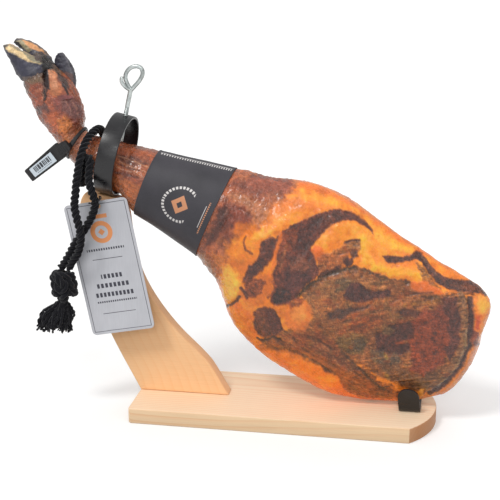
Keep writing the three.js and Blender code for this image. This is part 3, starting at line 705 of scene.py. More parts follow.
def grid_normals(G):
    du = np.gradient(G, axis=0)
    dv = (np.roll(G, -1, 1) - np.roll(G, 1, 1)) / 2
    n = unit(np.cross(dv, du))
    mid = G.mean(1, keepdims=True)
    flip = np.sign(((G - mid) * n).sum(-1).mean())
    return n * flip


NRM = grid_normals(G)
P = G.reshape(-1, 3)
N = NRM.reshape(-1, 3)
Uf, Af = U.ravel(), ANG.ravel()
# Length along the shoulder and height across it, for streaks that follow the meat.
mids = (tb[:, 0:2] + tb[:, 2:4]) / 2
slen = np.r_[0, np.cumsum(np.linalg.norm(np.diff(mids, axis=0), axis=1))]
S = np.interp(Uf, fine_u, slen)
half_len = np.interp(Uf, fine_u, np.linalg.norm((tb[:, 0:2] - tb[:, 2:4]) / 2, axis=1))
H = np.cos(Af) * half_len

# The carved side is painted from flat shapes drawn on the plane Y = -35 and
# carried onto the surface along lines that meet at one point in front of it.
EYE = np.array((205.4, -1442.7, 637.1))
t = (-35 - EYE[1]) / (P[:, 1] - EYE[1])
CX = EYE[0] + (P[:, 0] - EYE[0]) * t
CZ = EYE[2] + (P[:, 2] - EYE[2]) * t
to_eye = unit(EYE - P)
facing = (to_eye * N).sum(1)
near_w = smooth(-0.12, 0.06, facing + 0.05 * vnoise(P / 9, 91))

C3 = np.stack([CX, CZ, 0 * CX], 1)
WARP = {}
for sc in (3.5, 9.0, 24.0):
    WARP[sc] = (
        fbm(C3, sc, 3, 201) , fbm(C3 + 500, sc, 3, 202)
    )


FRAY = fbm(C3, 3.4, 3, 203)


def seg_dist(px, py, pts, closed):
    pts = np.asarray(pts, float)
    m = len(pts)
    best = np.full(len(px), 1e9)
    inside = np.zeros(len(px), bool)
    for i in range(m if closed else max(m - 1, 1)):
        a, b = pts[i], pts[(i + 1) % m]
        ab = b - a
        L = ab @ ab
        k = np.clip(((px - a[0]) * ab[0] + (py - a[1]) * ab[1]) / (L if L > 1e-9 else 1), 0, 1)
        best = np.minimum(best, np.hypot(px - a[0] - k * ab[0], py - a[1] - k * ab[1]))
        if closed:
            c = (a[1] > py) != (b[1] > py)
            with np.errstate(divide="ignore", invalid="ignore"):
                xx = (b[0] - a[0]) * (py - a[1]) / (b[1] - a[1] if b[1] != a[1] else 1e-9) + a[0]
            inside ^= c & (px < xx)
    return np.where(inside, -best, best)


# (texture, colour, opacity, softness, edge waver, height, half width or 0, points)
PAINT = [
    ("skin", (168, 100, 68), 1, 9, 6, 0, 0, [(-117.5, 331.8), (-55.2, 330.4), (-28.0, 326.5), (6.4, 320.3), (8.9, 306.8), (-0.8, 295.2), (-14.3, 284.5), (-25.4, 274.0), (-40.3, 260.6), (-55.4, 247.1), (-65.5, 231.2), (-70.7, 210.2), (-78.4, 196.8), (-84.9, 184.6), (-119.2, 207.7), (-170.0, 246.9)]),
    ("cut", (158, 104, 66), 1, 3, 3, -0.6, 0, [(20.3, 174.8), (37.5, 191.3), (57.1, 204.0), (75.5, 210.1), (96.4, 208.7), (118.5, 203.4), (143.0, 198.4), (167.4, 192.0), (191.8, 184.5), (213.4, 184.4), (227.9, 181.4), (235.9, 165.3), (234.8, 139.4), (228.9, 113.0), (220.4, 88.8), (209.1, 69.4), (192.5, 54.8), (172.8, 53.4), (141.4, 61.9), (112.3, 76.0), (86.9, 90.3), (59.0, 101.8), (33.7, 108.2), (2.0, 108.8), (-27.4, 109.6), (-10.8, 116.0), (3.1, 124.9), (20.8, 128.7), (33.2, 142.7), (30.4, 160.9)]),
    ("cut", (150, 88, 50), 0.9, 3, 4, 0, 0, [(-35.1, 109.1), (0.6, 114.1), (33.5, 121.5), (61.3, 115.3), (76.6, 100.3), (94.6, 82.8), (122.7, 63.3), (148.0, 51.6), (123.2, 47.1), (97.9, 50.7), (72.4, 62.4), (44.2, 82.0), (16.1, 96.3), (-14.6, 101.0)]),
    ("skin", (150, 90, 76), 0.95, 3, 3, 0.5, 0, [(-61.4, 327.7), (-35.4, 324.9), (-10.8, 322.2), (11.3, 318.1), (7.7, 308.0), (-0.8, 297.7), (-18.0, 291.9), (-35.4, 295.0), (-52.8, 303.0), (-65.2, 307.6)]),
    ("skin", (182, 112, 72), 0.8, 2, 3, 0.4, 0, [(-60.2, 326.5), (-40.4, 324.8), (-42.8, 317.2), (-55.2, 313.0), (-63.9, 315.1)]),
    ("skin", (184, 130, 98), 0.8, 2.5, 3, 0.4, 0, [(-70.2, 296.0), (-55.3, 299.2), (-35.4, 292.5), (-23.0, 285.4), (-18.0, 274.3), (-22.9, 265.2), (-32.8, 262.2), (-42.8, 268.1), (-50.3, 280.5), (-65.3, 284.9)]),
    ("skin", (172, 112, 84), 0.7, 2.5, 2, 0, 0, [(-27.9, 296.5), (-5.8, 302.5), (-0.8, 292.7), (-13.0, 282.1), (-23.0, 286.7)]),
    ("skin", (128, 68, 54), 0.95, 3, 3, -0.4, 0, [(-75.3, 285.7), (-55.3, 284.1), (-42.8, 273.2), (-40.3, 258.1), (-50.3, 252.5), (-67.9, 254.2), (-80.5, 261.3), (-85.5, 268.8)]),
    # Painted shadow: a dark patch on the skin beside the paper band's edge.
    ("skin", (88, 48, 40), 0.95, 3, 2, -0.8, 0, [(-72.8, 289.6), (-67.8, 279.7), (-75.5, 253.9), (-88.3, 232.7), (-102.4, 224.2), (-98.4, 240.0), (-85.5, 266.2)]),
    ("skin", (112, 62, 50), 0.7, 3, 2, 0, 0, [(-73.0, 254.0), (-60.4, 249.5), (-68.0, 231.1), (-78.2, 228.0), (-83.2, 238.1)]),
    ("skin", (205, 130, 68), 0.95, 3, 3, 0.3, 0, [(-90.9, 230.0), (-78.1, 238.3), (-65.5, 231.2), (-68.1, 215.6), (-73.3, 199.7), (-78.4, 194.2), (-86.0, 201.6), (-93.5, 216.9)]),
    ("skin", (172, 108, 84), 0.8, 2, 2, 0.3, 0, [(-93.4, 233.7), (-80.7, 238.2), (-73.1, 229.6), (-75.7, 217.8), (-88.4, 219.7)]),
    ("skin", (165, 135, 115), 0.8, 1.5, 1.5, 0, 0, [(-111.4, 218.6), (-101.2, 219.1), (-91.1, 204.0), (-82.3, 184.8), (-90.0, 185.7), (-101.4, 200.8)]),
    ("fat", (252, 188, 88), 1, 3, 2, 1.4, 0, [(-77.1, 202.1), (-68.2, 206.5), (-59.3, 197.8), (-54.3, 182.4), (-56.9, 165.1), (-67.1, 156.6), (-74.8, 161.4), (-79.8, 181.0)]),
    ("fat", (226, 138, 52), 0.9, 3, 2, 0.6, 0, [(-68.0, 238.8), (-52.9, 247.3), (-35.3, 243.0), (-31.5, 232.9), (-37.8, 221.0), (-50.4, 210.0), (-63.1, 210.6), (-70.6, 223.2)]),
    ("fat", (212, 124, 52), 0.8, 2.5, 2, 0, 0, [(-57.9, 262.4), (-42.8, 263.0), (-35.3, 255.8), (-42.8, 245.2), (-55.4, 247.1), (-63.0, 241.7), (-65.4, 251.8)]),
    ("fat", (248, 180, 84), 1, 2, 2, 1, 0, [(-37.8, 250.5), (-27.8, 256.1), (-16.6, 259.2), (-11.6, 255.6), (-15.3, 246.5), (-26.6, 244.7), (-35.3, 239.1), (-44.1, 238.7)]),
    ("fat", (240, 160, 64), 0.9, 3, 2, 0.3, 0, [(-15.4, 256.7), (-13.0, 272.0), (-0.7, 280.1), (14.1, 285.8), (23.9, 283.7), (14.2, 275.7), (1.9, 267.6), (-5.4, 257.1)]),
    ("fat", (232, 140, 70), 0.8, 3, 2, 0, 0, [(-15.5, 284.5), (1.7, 295.3), (23.8, 294.9), (45.8, 290.9), (31.2, 284.0), (14.1, 278.2), (-0.6, 272.5), (-13.0, 269.5)]),
    ("fat", (252, 170, 74), 0.9, 4, 3, 1, 0, [(16.3, 305.8), (43.2, 302.0), (70.1, 293.1), (92.1, 281.7), (111.9, 265.1), (131.6, 251.0), (156.2, 234.6), (170.8, 227.8), (151.3, 236.9), (126.8, 248.2), (104.5, 267.2), (87.2, 282.7), (65.3, 290.5), (40.9, 291.9), (18.9, 293.5)]),
    ("fat", (232, 124, 52), 0.75, 2.5, 2, 0, 0, [(18.6, 317.1), (43.0, 311.9), (72.3, 300.7), (94.3, 288.0), (116.5, 270.3), (143.7, 249.0), (170.5, 235.3), (190.2, 223.7), (170.7, 230.3), (141.4, 243.9), (114.3, 265.2), (89.6, 284.0), (67.6, 295.5), (40.7, 305.6), (16.2, 309.6)]),
    ("fat", (226, 122, 44), 0.9, 3, 3, 0, 0, [(-71.0, 155.0), (-55.6, 158.6), (-42.8, 156.7), (-37.7, 138.4), (-35.1, 117.2), (-27.4, 104.2), (-42.8, 114.0), (-55.7, 123.9), (-65.9, 139.4)]),
    ("fat", (236, 150, 56), 0.8, 3, 2, 0.5, 0, [(-73.6, 152.2), (-60.7, 145.0), (-50.5, 129.6), (-40.3, 116.8), (-48.0, 116.4), (-60.8, 129.0), (-69.8, 141.8)]),
    ("fat", (205, 118, 58), 0.9, 3, 3, 0, 0, [(-47.9, 185.3), (-27.7, 196.9), (-15.1, 192.4), (-14.9, 171.4), (-27.6, 160.2), (-42.8, 156.7), (-53.0, 169.3)]),
    ("fat", (224, 122, 38), 1, 4, 3, 1.2, 0, [(-35.1, 102.4), (-14.6, 97.0), (11.0, 90.6), (36.6, 81.5), (64.7, 70.0), (87.7, 58.1), (115.6, 47.9), (148.2, 44.9), (146.0, 37.9), (98.3, 34.4), (72.9, 37.9), (44.8, 46.8), (19.0, 58.6), (-9.3, 78.4), (-27.4, 93.4)]),
    ("fat", (240, 138, 40), 0.8, 4, 3, 0.6, 0, [(6.0, 82.2), (26.5, 78.1), (49.5, 68.9), (70.0, 56.8), (60.0, 50.6), (36.9, 59.9), (13.8, 71.8)]),
    ("fat", (160, 92, 44), 0.8, 2, 2, -0.6, 2.54, [(-27.4, 98.8), (-4.3, 97.7), (21.2, 95.3), (46.6, 87.6), (69.6, 75.7), (92.6, 61.1), (118.1, 49.4)]),
    ("cut", (96, 66, 38), 0.75, 1.5, 2, -0.8, 1.52, [(-19.7, 100.7), (5.9, 99.7), (28.8, 91.8), (49.3, 79.7), (64.7, 70.0)]),
    ("mus", (112, 68, 54), 1, 1.5, 2, -0.7, 0, [(-26.5, 240.8), (-17.8, 245.1), (-9.1, 243.0), (-10.3, 231.4), (-15.2, 218.3), (-22.7, 207.5), (-30.2, 199.4), (-37.8, 191.1), (-45.4, 182.9), (-51.7, 183.8), (-50.4, 195.7), (-42.8, 206.5), (-35.3, 210.8), (-30.3, 225.2)]),
    ("mus", (76, 52, 56), 0.9, 1, 1.5, -0.4, 0, [(-42.8, 206.5), (-35.3, 209.5), (-32.7, 201.8), (-40.3, 194.9), (-45.4, 197.2)]),
    ("mus", (96, 60, 54), 0.8, 1, 1.5, -0.4, 0, [(-26.5, 230.6), (-16.5, 238.8), (-11.5, 233.9), (-20.2, 220.6), (-27.7, 217.6)]),
    ("mus", (150, 88, 56), 0.9, 1, 2, 0, 0, [(-50.4, 182.6), (-42.8, 188.2), (-30.2, 191.5), (-22.6, 186.7), (-27.6, 173.4), (-37.7, 164.9), (-47.9, 166.9)]),
    ("mus", (92, 62, 56), 0.85, 0.8, 1.2, -0.6, 2.03, [(-54.3, 177.1), (-49.2, 172.1), (-45.4, 165.8)]),
    ("mus", (78, 56, 52), 0.9, 0.8, 1, -0.8, 1.78, [(-72.3, 152.3), (-65.8, 155.3), (-59.4, 161.0), (-55.6, 166.5)]),
    ("mus", (88, 60, 52), 0.8, 0.8, 1, -0.4, 1.4, [(-42.8, 175.1), (-37.7, 170.2)]),
    ("mus", (84, 56, 50), 0.8, 0.8, 1, -0.4, 1.65, [(-35.2, 183.4), (-32.7, 179.6)]),
    ("mus", (120, 76, 52), 0.7, 1, 1, -0.3, 1.27, [(-47.8, 244.9), (-51.6, 237.1), (-47.9, 226.9), (-40.3, 222.2)]),
    ("mus", (106, 62, 52), 1, 1.4, 1.6, -1.1, 0, [(-2.9, 253.4), (11.8, 263.0), (24.1, 268.6), (36.3, 275.4), (50.8, 281.1), (65.4, 283.6), (77.6, 281.6), (89.8, 275.9), (100.9, 269.0), (107.1, 261.1), (109.2, 253.7), (104.8, 259.7), (94.9, 267.4), (85.1, 270.7), (73.0, 270.8), (64.5, 267.9), (57.3, 262.6), (50.1, 254.7), (42.8, 248.0), (36.8, 240.1), (33.2, 231.0), (37.1, 220.9), (42.2, 210.9), (46.0, 202.1), (38.7, 194.0), (28.9, 185.7), (21.5, 176.1), (12.8, 165.2), (2.8, 158.7), (-7.3, 156.1), (-16.2, 159.5), (-17.4, 166.1), (-11.2, 175.6), (-13.8, 188.5), (-15.1, 197.6), (-10.1, 210.8), (-7.7, 223.8), (-5.3, 241.9)]),
    ("mus", (150, 88, 58), 0.85, 1.5, 2.5, 0.2, 0, [(-10.4, 246.7), (4.5, 257.6), (16.8, 258.2), (14.5, 242.8), (7.2, 229.7), (-2.7, 221.5), (-9.0, 228.9)]),
    ("mus", (158, 94, 60), 0.7, 1, 2, 0.2, 0, [(-10.2, 218.5), (-0.2, 226.7), (4.8, 216.7), (-0.0, 201.0), (-10.0, 195.2)]),
    ("mus", (74, 44, 42), 0.7, 1.5, 2, -0.3, 0, [(16.8, 255.6), (31.5, 266.4), (46.1, 274.6), (51.1, 267.3), (39.0, 254.1), (26.9, 240.9), (17.1, 232.7)]),
    ("mus", (134, 82, 62), 0.7, 1.2, 2, 0.2, 0, [(46.1, 274.6), (63.0, 280.4), (70.4, 277.0), (60.8, 270.3), (51.2, 262.3)]),
    ("mus", (142, 98, 76), 0.8, 1.2, 2.5, 0.3, 0, [(4.8, 214.1), (19.7, 222.6), (32.2, 215.6), (34.8, 205.4), (24.9, 202.3), (9.9, 204.1)]),
    ("mus", (96, 62, 66), 0.7, 1.5, 2, 0, 0, [(-0.0, 201.0), (20.0, 199.4), (34.8, 205.4), (37.5, 195.2), (25.1, 184.2), (12.8, 170.4), (0.2, 174.9)]),
    ("mus", (54, 42, 46), 0.9, 1, 1.5, -0.6, 0, [(-16.2, 174.0), (-2.4, 180.0), (7.7, 175.4), (7.8, 164.9), (-2.2, 159.0), (-12.3, 158.4)]),
    ("mus", (170, 100, 62), 0.8, 1, 1.5, 0.2, 1.65, [(-15.0, 187.1), (-8.7, 179.7), (-14.9, 171.4), (-20.0, 165.9)]),
    ("fat", (216, 120, 58), 0.9, 1, 1.2, 0.6, 2.29, [(-4.2, 249.6), (-7.8, 234.1), (-11.4, 218.5), (-15.1, 205.3), (-18.8, 193.5)]),
    ("mus", (180, 128, 84), 0.7, 0.8, 1, 0.2, 1.52, [(2.2, 234.6), (-1.5, 221.5), (-5.1, 205.9)]),
    ("fat", (240, 152, 56), 0.9, 2, 2, 1, 0, [(53.8, 254.8), (63.4, 264.1), (75.4, 268.4), (87.6, 266.5), (97.5, 259.4), (107.5, 249.8), (122.2, 240.5), (139.3, 236.3), (122.6, 230.4), (117.9, 222.5), (125.4, 215.3), (142.5, 213.6), (159.2, 217.1), (171.4, 212.6), (181.5, 201.7), (164.8, 198.3), (147.7, 201.2), (128.2, 204.0), (111.1, 208.2), (98.6, 219.0), (94.5, 234.0), (88.2, 243.8), (73.5, 245.7), (58.9, 242.4), (46.7, 236.7), (41.7, 244.1)]),
    ("fat", (252, 182, 66), 0.9, 2.5, 2, 0.8, 4.45, [(95.3, 251.8), (95.7, 236.6), (100.9, 224.2), (110.9, 213.3), (130.5, 209.2), (152.3, 207.8), (164.5, 205.9)]),
    ("fat", (252, 178, 68), 0.85, 2.5, 2, 0.6, 4.06, [(112.2, 252.6), (127.0, 244.5), (144.0, 239.0), (156.1, 237.1)]),
    ("fat", (250, 170, 70), 0.7, 2.5, 2, 0.4, 3.3, [(61.0, 260.2), (75.6, 263.4), (87.8, 258.9)]),
    ("fat", (206, 106, 50), 0.9, 1.5, 1.5, 0, 0, [(33.2, 231.0), (39.3, 237.7), (46.7, 234.2), (49.4, 224.1), (43.3, 217.4), (37.1, 220.9)]),
    ("cut", (190, 118, 74), 0.9, 1.5, 2.5, -0.2, 0, [(42.0, 221.2), (51.8, 228.1), (66.4, 232.6), (78.5, 240.8), (83.6, 230.9), (76.6, 217.8), (67.0, 207.1), (52.3, 198.6), (42.3, 203.2)]),
    ("cut", (170, 122, 84), 0.9, 1, 1.5, -0.4, 0, [(76.0, 244.5), (93.0, 247.2), (93.3, 235.2), (86.1, 228.5), (79.9, 233.3)]),
    ("mus", (80, 54, 48), 0.9, 0.8, 1, -0.6, 1.52, [(76.0, 242.0), (82.0, 245.4), (91.8, 246.5)]),
    ("mus", (86, 54, 50), 0.95, 1, 1.5, -0.8, 0, [(72.8, 220.2), (77.6, 224.3), (83.8, 223.3), (86.4, 218.4), (82.8, 213.1), (76.7, 212.7)]),
    ("mus", (96, 64, 50), 0.85, 1, 1.5, -0.4, 0, [(81.2, 230.8), (89.6, 233.8), (91.1, 226.2), (85.0, 222.1)]),
    ("mus", (92, 58, 46), 0.95, 1, 2, -0.6, 0, [(42.4, 196.8), (47.3, 203.5), (57.1, 207.9), (66.8, 213.5), (70.6, 211.1), (64.5, 204.4), (54.8, 198.7), (47.4, 193.2)]),
    ("mus", (98, 66, 60), 1, 1.2, 1.2, -1.2, 0, [(120.2, 227.7), (127.4, 228.7), (144.4, 227.7), (153.9, 230.7), (160.9, 236.1), (168.2, 233.9), (175.8, 223.0), (185.9, 210.9), (200.6, 203.4), (217.3, 203.1), (236.5, 199.7), (250.3, 186.5), (246.9, 183.8), (232.4, 186.8), (213.3, 188.2), (198.8, 191.2), (186.5, 198.2), (176.3, 210.4), (167.4, 223.8), (160.1, 227.2), (144.6, 220.7), (127.7, 219.2)]),
    ("mus", (140, 108, 92), 0.8, 0.8, 0.8, 0.4, 1.14, [(168.4, 230.2), (174.6, 222.9), (181.0, 214.4), (187.3, 207.1)]),
    ("mus", (138, 88, 62), 0.8, 1.5, 1.5, 0.2, 0, [(203.3, 197.8), (222.4, 197.6), (239.3, 192.2), (246.8, 185.0), (232.3, 189.3), (215.5, 190.9)]),
    ("cut", (160, 112, 52), 0.8, 1.5, 1.5, 0, 0, [(161.5, 222.2), (171.3, 216.4), (184.0, 199.3), (192.8, 189.6), (179.5, 191.4), (168.2, 203.6)]),
    ("cut", (96, 66, 48), 0.9, 1, 1.2, -1, 1.91, [(86.5, 212.0), (98.8, 208.8), (111.2, 203.7), (125.9, 199.4), (143.0, 197.1), (155.2, 195.2)]),
    ("fat", (206, 110, 56), 0.95, 1.5, 1.5, 0.8, 0, [(155.2, 196.5), (174.4, 198.8), (189.2, 190.7), (199.1, 183.6), (192.1, 179.4), (172.6, 183.4), (155.5, 187.5)]),
    ("cut", (112, 72, 40), 0.85, 0.8, 1, -0.8, 1.4, [(148.3, 184.6), (165.5, 180.4), (180.1, 177.4), (196.8, 180.9), (213.4, 185.0), (230.1, 186.0), (242.2, 182.2)]),
    ("cut", (76, 58, 40), 0.95, 1, 1, -2.2, 2.16, [(16.6, 169.3), (24.0, 176.3), (35.1, 187.3), (47.4, 195.7), (62.1, 203.0), (76.8, 208.9), (89.0, 210.8)]),
    ("cut", (178, 126, 84), 0.85, 2, 2, 0.3, 0, [(27.8, 171.3), (42.6, 185.1), (62.2, 196.5), (79.4, 200.1), (74.8, 184.3), (65.2, 173.4), (55.5, 159.8), (45.7, 146.1), (35.8, 137.6), (30.6, 153.1)]),
    ("cut", (206, 132, 78), 0.8, 1.5, 2, 0.3, 0, [(37.9, 166.6), (47.8, 171.1), (57.8, 167.8), (58.0, 157.3), (48.1, 151.5), (38.0, 156.1)]),
    ("cut", (192, 136, 92), 0.95, 1.5, 1.5, 0.5, 0, [(84.4, 196.5), (99.1, 199.8), (116.3, 196.9), (128.7, 189.9), (135.0, 181.3), (121.6, 181.8), (106.8, 184.8), (94.4, 190.6)]),
    ("cut", (120, 104, 84), 0.8, 1.5, 1.5, 0, 0, [(64.8, 191.5), (77.0, 197.3), (89.4, 195.4), (82.2, 186.0), (72.5, 179.0), (62.6, 178.4)]),
    ("mus", (82, 54, 56), 0.95, 1, 1.2, -0.7, 0, [(73.8, 173.9), (78.6, 183.2), (83.3, 191.2), (91.9, 193.0), (98.1, 188.2), (103.2, 183.3), (119.1, 182.3), (130.0, 185.5), (133.8, 182.5), (130.3, 175.8), (114.5, 172.3), (99.9, 167.6), (88.8, 167.0), (77.6, 168.9)]),
    ("mus", (86, 66, 58), 0.9, 1, 1.2, -0.7, 0, [(55.7, 149.3), (68.0, 156.6), (90.2, 159.2), (108.6, 163.6), (98.9, 157.1), (83.0, 151.6), (73.2, 142.5), (59.5, 141.7)]),
    ("cut", (188, 110, 62), 0.75, 1.2, 1.5, 0.3, 2.29, [(65.8, 139.4), (85.5, 148.5), (105.1, 156.2), (124.6, 163.8), (144.0, 168.9)]),
    ("cut", (146, 92, 58), 0.8, 1.2, 1.5, -0.2, 1.78, [(68.5, 131.7), (88.2, 140.8), (110.2, 150.0), (129.7, 157.7)]),
    ("cut", (202, 128, 70), 0.75, 1.2, 1.5, 0.3, 1.91, [(82.7, 162.7), (102.4, 166.4), (124.4, 170.3), (146.2, 176.7), (167.9, 180.5)]),
    ("cut", (120, 72, 54), 0.8, 1, 1.5, -0.3, 1.52, [(134.0, 174.7), (150.9, 179.6), (167.8, 183.1), (182.2, 183.9)]),
    ("cut", (196, 138, 70), 0.75, 1, 1.5, 0.2, 1.91, [(149.0, 165.3), (168.3, 170.3), (185.1, 172.5), (197.0, 175.8)]),
    ("cut", (176, 98, 56), 0.8, 1.5, 2, 0.2, 0, [(68.5, 129.0), (85.7, 140.6), (105.3, 149.7), (124.9, 153.5), (120.4, 140.1), (105.9, 128.7), (86.2, 119.6), (71.3, 115.9)]),
    ("cut", (130, 104, 62), 0.9, 2, 2, -0.2, 0, [(66.3, 115.6), (83.5, 127.3), (101.0, 125.8), (106.2, 115.5), (99.1, 101.8), (84.2, 98.2), (71.6, 102.7)]),
    ("cut", (104, 92, 80), 0.8, 1.5, 1.5, -0.2, 0, [(86.3, 116.9), (98.7, 120.3), (103.9, 110.1), (94.1, 101.5), (85.3, 107.5)]),
    ("cut", (206, 138, 98), 0.8, 1.2, 1.5, 0.4, 2.03, [(113.5, 121.3), (106.4, 110.3), (101.7, 99.3), (99.5, 88.5)]),
    ("cut", (134, 84, 62), 0.9, 3, 3, -0.2, 0, [(28.5, 118.5), (51.1, 125.3), (68.9, 110.5), (81.8, 92.6), (92.2, 77.3), (77.2, 76.2), (56.7, 91.0), (36.3, 103.0)]),
    ("cut", (196, 118, 62), 0.7, 1.5, 2, 0.3, 1.78, [(43.5, 124.8), (58.7, 117.8), (71.6, 102.7), (87.0, 87.6)]),
    ("cut", (80, 60, 48), 0.85, 1, 1.5, -0.8, 1.65, [(74.1, 100.2), (84.4, 90.1), (97.2, 77.6), (110.1, 65.1), (122.9, 55.2), (133.1, 50.5)]),
    ("mus", (112, 70, 52), 1, 1.3, 1.5, -0.9, 0, [(-37.7, 146.4), (-32.6, 152.0), (-17.4, 154.2), (-9.8, 149.4), (-3.3, 136.5), (-0.7, 123.4), (-8.3, 116.2), (-22.3, 112.6), (-32.6, 117.3), (-39.0, 133.0)]),
    ("mus", (92, 56, 54), 0.85, 1.2, 1.5, -0.3, 0, [(-22.5, 151.2), (-11.0, 148.0), (-3.3, 135.2), (-2.0, 123.3), (-9.6, 117.5), (-17.3, 126.3), (-22.4, 139.3)]),
    ("mus", (146, 96, 56), 0.7, 1, 2, 0.2, 1.91, [(-32.6, 146.7), (-27.5, 136.4), (-27.5, 123.0)]),
    ("cut", (52, 38, 36), 0.95, 0.8, 1, -1.2, 1.4, [(-33.8, 111.9), (-26.1, 108.3), (-19.7, 110.1), (-13.4, 114.5), (-4.4, 112.4)]),
    ("fat", (214, 124, 66), 0.9, 2, 2, 0.2, 0, [(0.4, 148.6), (10.4, 157.1), (25.4, 163.3), (35.5, 158.6), (35.8, 140.2), (28.4, 126.5), (13.3, 120.2), (1.8, 130.2)]),
    ("fat", (234, 154, 90), 0.9, 2.5, 1.5, 0.8, 0, [(11.6, 157.2), (22.9, 160.5), (29.3, 153.0), (27.0, 139.7), (18.2, 132.5), (10.5, 141.3)]),
    ("cut", (156, 82, 52), 0.85, 1.2, 1.5, 0, 0, [(5.3, 162.1), (17.8, 168.1), (25.4, 165.9), (20.4, 157.7), (7.9, 154.4)]),
    ("cut", (178, 108, 56), 0.8, 2, 2.5, 0.3, 2.54, [(-27.4, 104.2), (-4.4, 107.1), (21.0, 110.0), (43.7, 111.5)]),
    ("cut", (140, 76, 44), 0.8, 1.5, 2, -0.3, 2.03, [(0.6, 116.8), (20.9, 116.7), (41.1, 116.7), (61.4, 110.0)]),
    ("mus", (98, 62, 48), 0.95, 1.5, 2, -0.5, 0, [(139.5, 158.2), (154.0, 163.0), (171.1, 160.1), (175.0, 153.9), (161.7, 150.5), (147.0, 152.2)]),
    ("mus", (90, 56, 50), 1, 2, 2, -1.8, 0, [(117.1, 126.8), (130.3, 138.1), (147.3, 143.1), (164.3, 148.0), (175.1, 150.0), (171.9, 140.7), (161.2, 130.9), (160.5, 119.0), (157.3, 105.7), (143.9, 99.5), (129.2, 95.8), (117.8, 103.0)]),
    ("cut", (170, 86, 46), 0.85, 1.2, 1.5, 0.3, 2.29, [(142.1, 115.2), (150.7, 117.1), (158.0, 118.9)]),
    ("cut", (128, 104, 76), 0.85, 1, 1.2, 0.3, 0, [(123.1, 132.4), (132.8, 137.0), (140.3, 132.2), (133.2, 125.2), (124.5, 126.0)]),
    ("cut", (112, 100, 92), 0.85, 1.5, 2, 0, 0, [(109.0, 105.1), (126.4, 103.6), (143.8, 102.1), (149.1, 91.9), (136.9, 85.7), (119.5, 87.2), (109.3, 94.5)]),
    ("cut", (186, 168, 84), 0.8, 0.8, 1, 0.2, 1.78, [(127.8, 101.0), (130.4, 95.9)]),
    ("cut", (196, 164, 90), 0.8, 0.8, 1, 0.2, 2.29, [(131.1, 74.6), (132.5, 68.0)]),
    ("mus", (152, 80, 52), 0.95, 3, 3, 0.4, 0, [(159.5, 145.1), (175.9, 161.7), (195.0, 168.0), (207.7, 153.3), (211.0, 132.7), (207.3, 109.0), (195.9, 89.7), (176.9, 75.1), (160.5, 84.6), (158.5, 105.7), (162.7, 124.4)]),
    ("mus", (176, 88, 46), 0.8, 2, 2, 0.3, 3.3, [(162.5, 129.7), (160.5, 119.0), (163.4, 106.1), (167.4, 98.4)]),
    ("mus", (128, 72, 56), 0.6, 2, 2, 0, 0, [(180.7, 162.0), (195.0, 168.0), (205.3, 153.1), (201.2, 137.3), (188.8, 141.7)]),
    ("mus", (100, 66, 64), 0.95, 2, 2, -0.3, 0, [(193.4, 176.9), (211.2, 181.7), (215.7, 161.5), (219.4, 135.9), (216.7, 114.8), (210.2, 98.6), (202.4, 108.6), (206.3, 129.8), (203.0, 150.4), (196.4, 162.9)]),
    ("cut", (134, 98, 74), 0.9, 3, 3, 0, 0, [(136.8, 91.0), (156.9, 81.7), (176.9, 75.1), (191.4, 81.5), (200.7, 92.7), (208.1, 90.6), (199.2, 71.4), (182.4, 59.5), (162.6, 60.7), (144.9, 70.2)]),
    ("cut", (108, 78, 62), 0.8, 2, 2, -0.3, 2.79, [(124.5, 84.8), (139.9, 69.9), (157.7, 60.4), (175.1, 58.9)]),
    ("cut", (150, 114, 90), 0.95, 1.2, 1.8, 0.6, 4.32, [(217.0, 184.6), (221.5, 167.0), (223.7, 146.5), (223.6, 123.1), (217.3, 101.7), (208.5, 82.7), (194.5, 65.7), (177.6, 56.4)]),
    ("mus", (82, 62, 64), 0.95, 1.2, 1.2, -1, 3.05, [(228.0, 180.1), (230.1, 162.3), (231.1, 141.8), (231.1, 118.4), (224.9, 97.0), (213.6, 77.7), (199.5, 63.4), (185.2, 53.0)]),
    ("cut", (196, 184, 170), 0.7, 0.7, 1, 0.4, 1.14, [(226.4, 138.9), (225.0, 118.0), (218.8, 96.6), (208.7, 78.7), (194.6, 63.0)]),
    ("fat", (222, 140, 78), 1, 1.5, 1.5, 1, 0, [(232.5, 185.5), (244.3, 187.4), (251.9, 177.7), (251.2, 168.7), (247.4, 150.5), (246.0, 132.4), (243.2, 116.6), (236.9, 97.8), (225.7, 78.6), (214.3, 61.8), (202.6, 48.9), (197.5, 53.9), (211.4, 72.2), (225.0, 94.4), (232.4, 115.9), (234.8, 139.4), (234.9, 162.6)]),
    ("fat", (252, 182, 100), 0.9, 1.5, 1.5, 0.5, 0, [(237.4, 183.2), (248.0, 183.8), (251.0, 173.8), (248.1, 160.9), (240.9, 160.4), (236.8, 170.4)]),
    ("fat", (168, 60, 54), 0.7, 1.5, 1.5, 0, 0, [(235.0, 160.1), (241.1, 157.9), (241.9, 142.4), (236.0, 139.5)]),
    ("mus", (110, 66, 80), 0.7, 1.2, 1.5, 0, 0, [(232.3, 141.9), (239.8, 137.1), (240.6, 121.6), (233.5, 118.5)]),
    ("fat", (232, 162, 76), 0.95, 0.8, 0.8, 0.3, 0, [(168.0, 50.4), (173.9, 57.5), (178.8, 59.2), (176.7, 48.3), (170.6, 45.2)]),
    ("cut", (158, 94, 48), 0.8, 2, 2.5, 0, 0, [(72.4, 65.1), (97.7, 58.8), (123.0, 52.5), (148.0, 51.6), (153.2, 45.2), (123.3, 41.7), (98.1, 42.5), (77.8, 49.2)]),
    ("skin", (150, 86, 54), 0.8, 1.5, 1.5, 0.2, 0, [(-208.1, 354.9), (-192.8, 352.9), (-172.7, 348.6), (-157.5, 345.4), (-160.2, 339.0), (-180.5, 340.8), (-198.2, 345.2), (-210.9, 347.3)]),
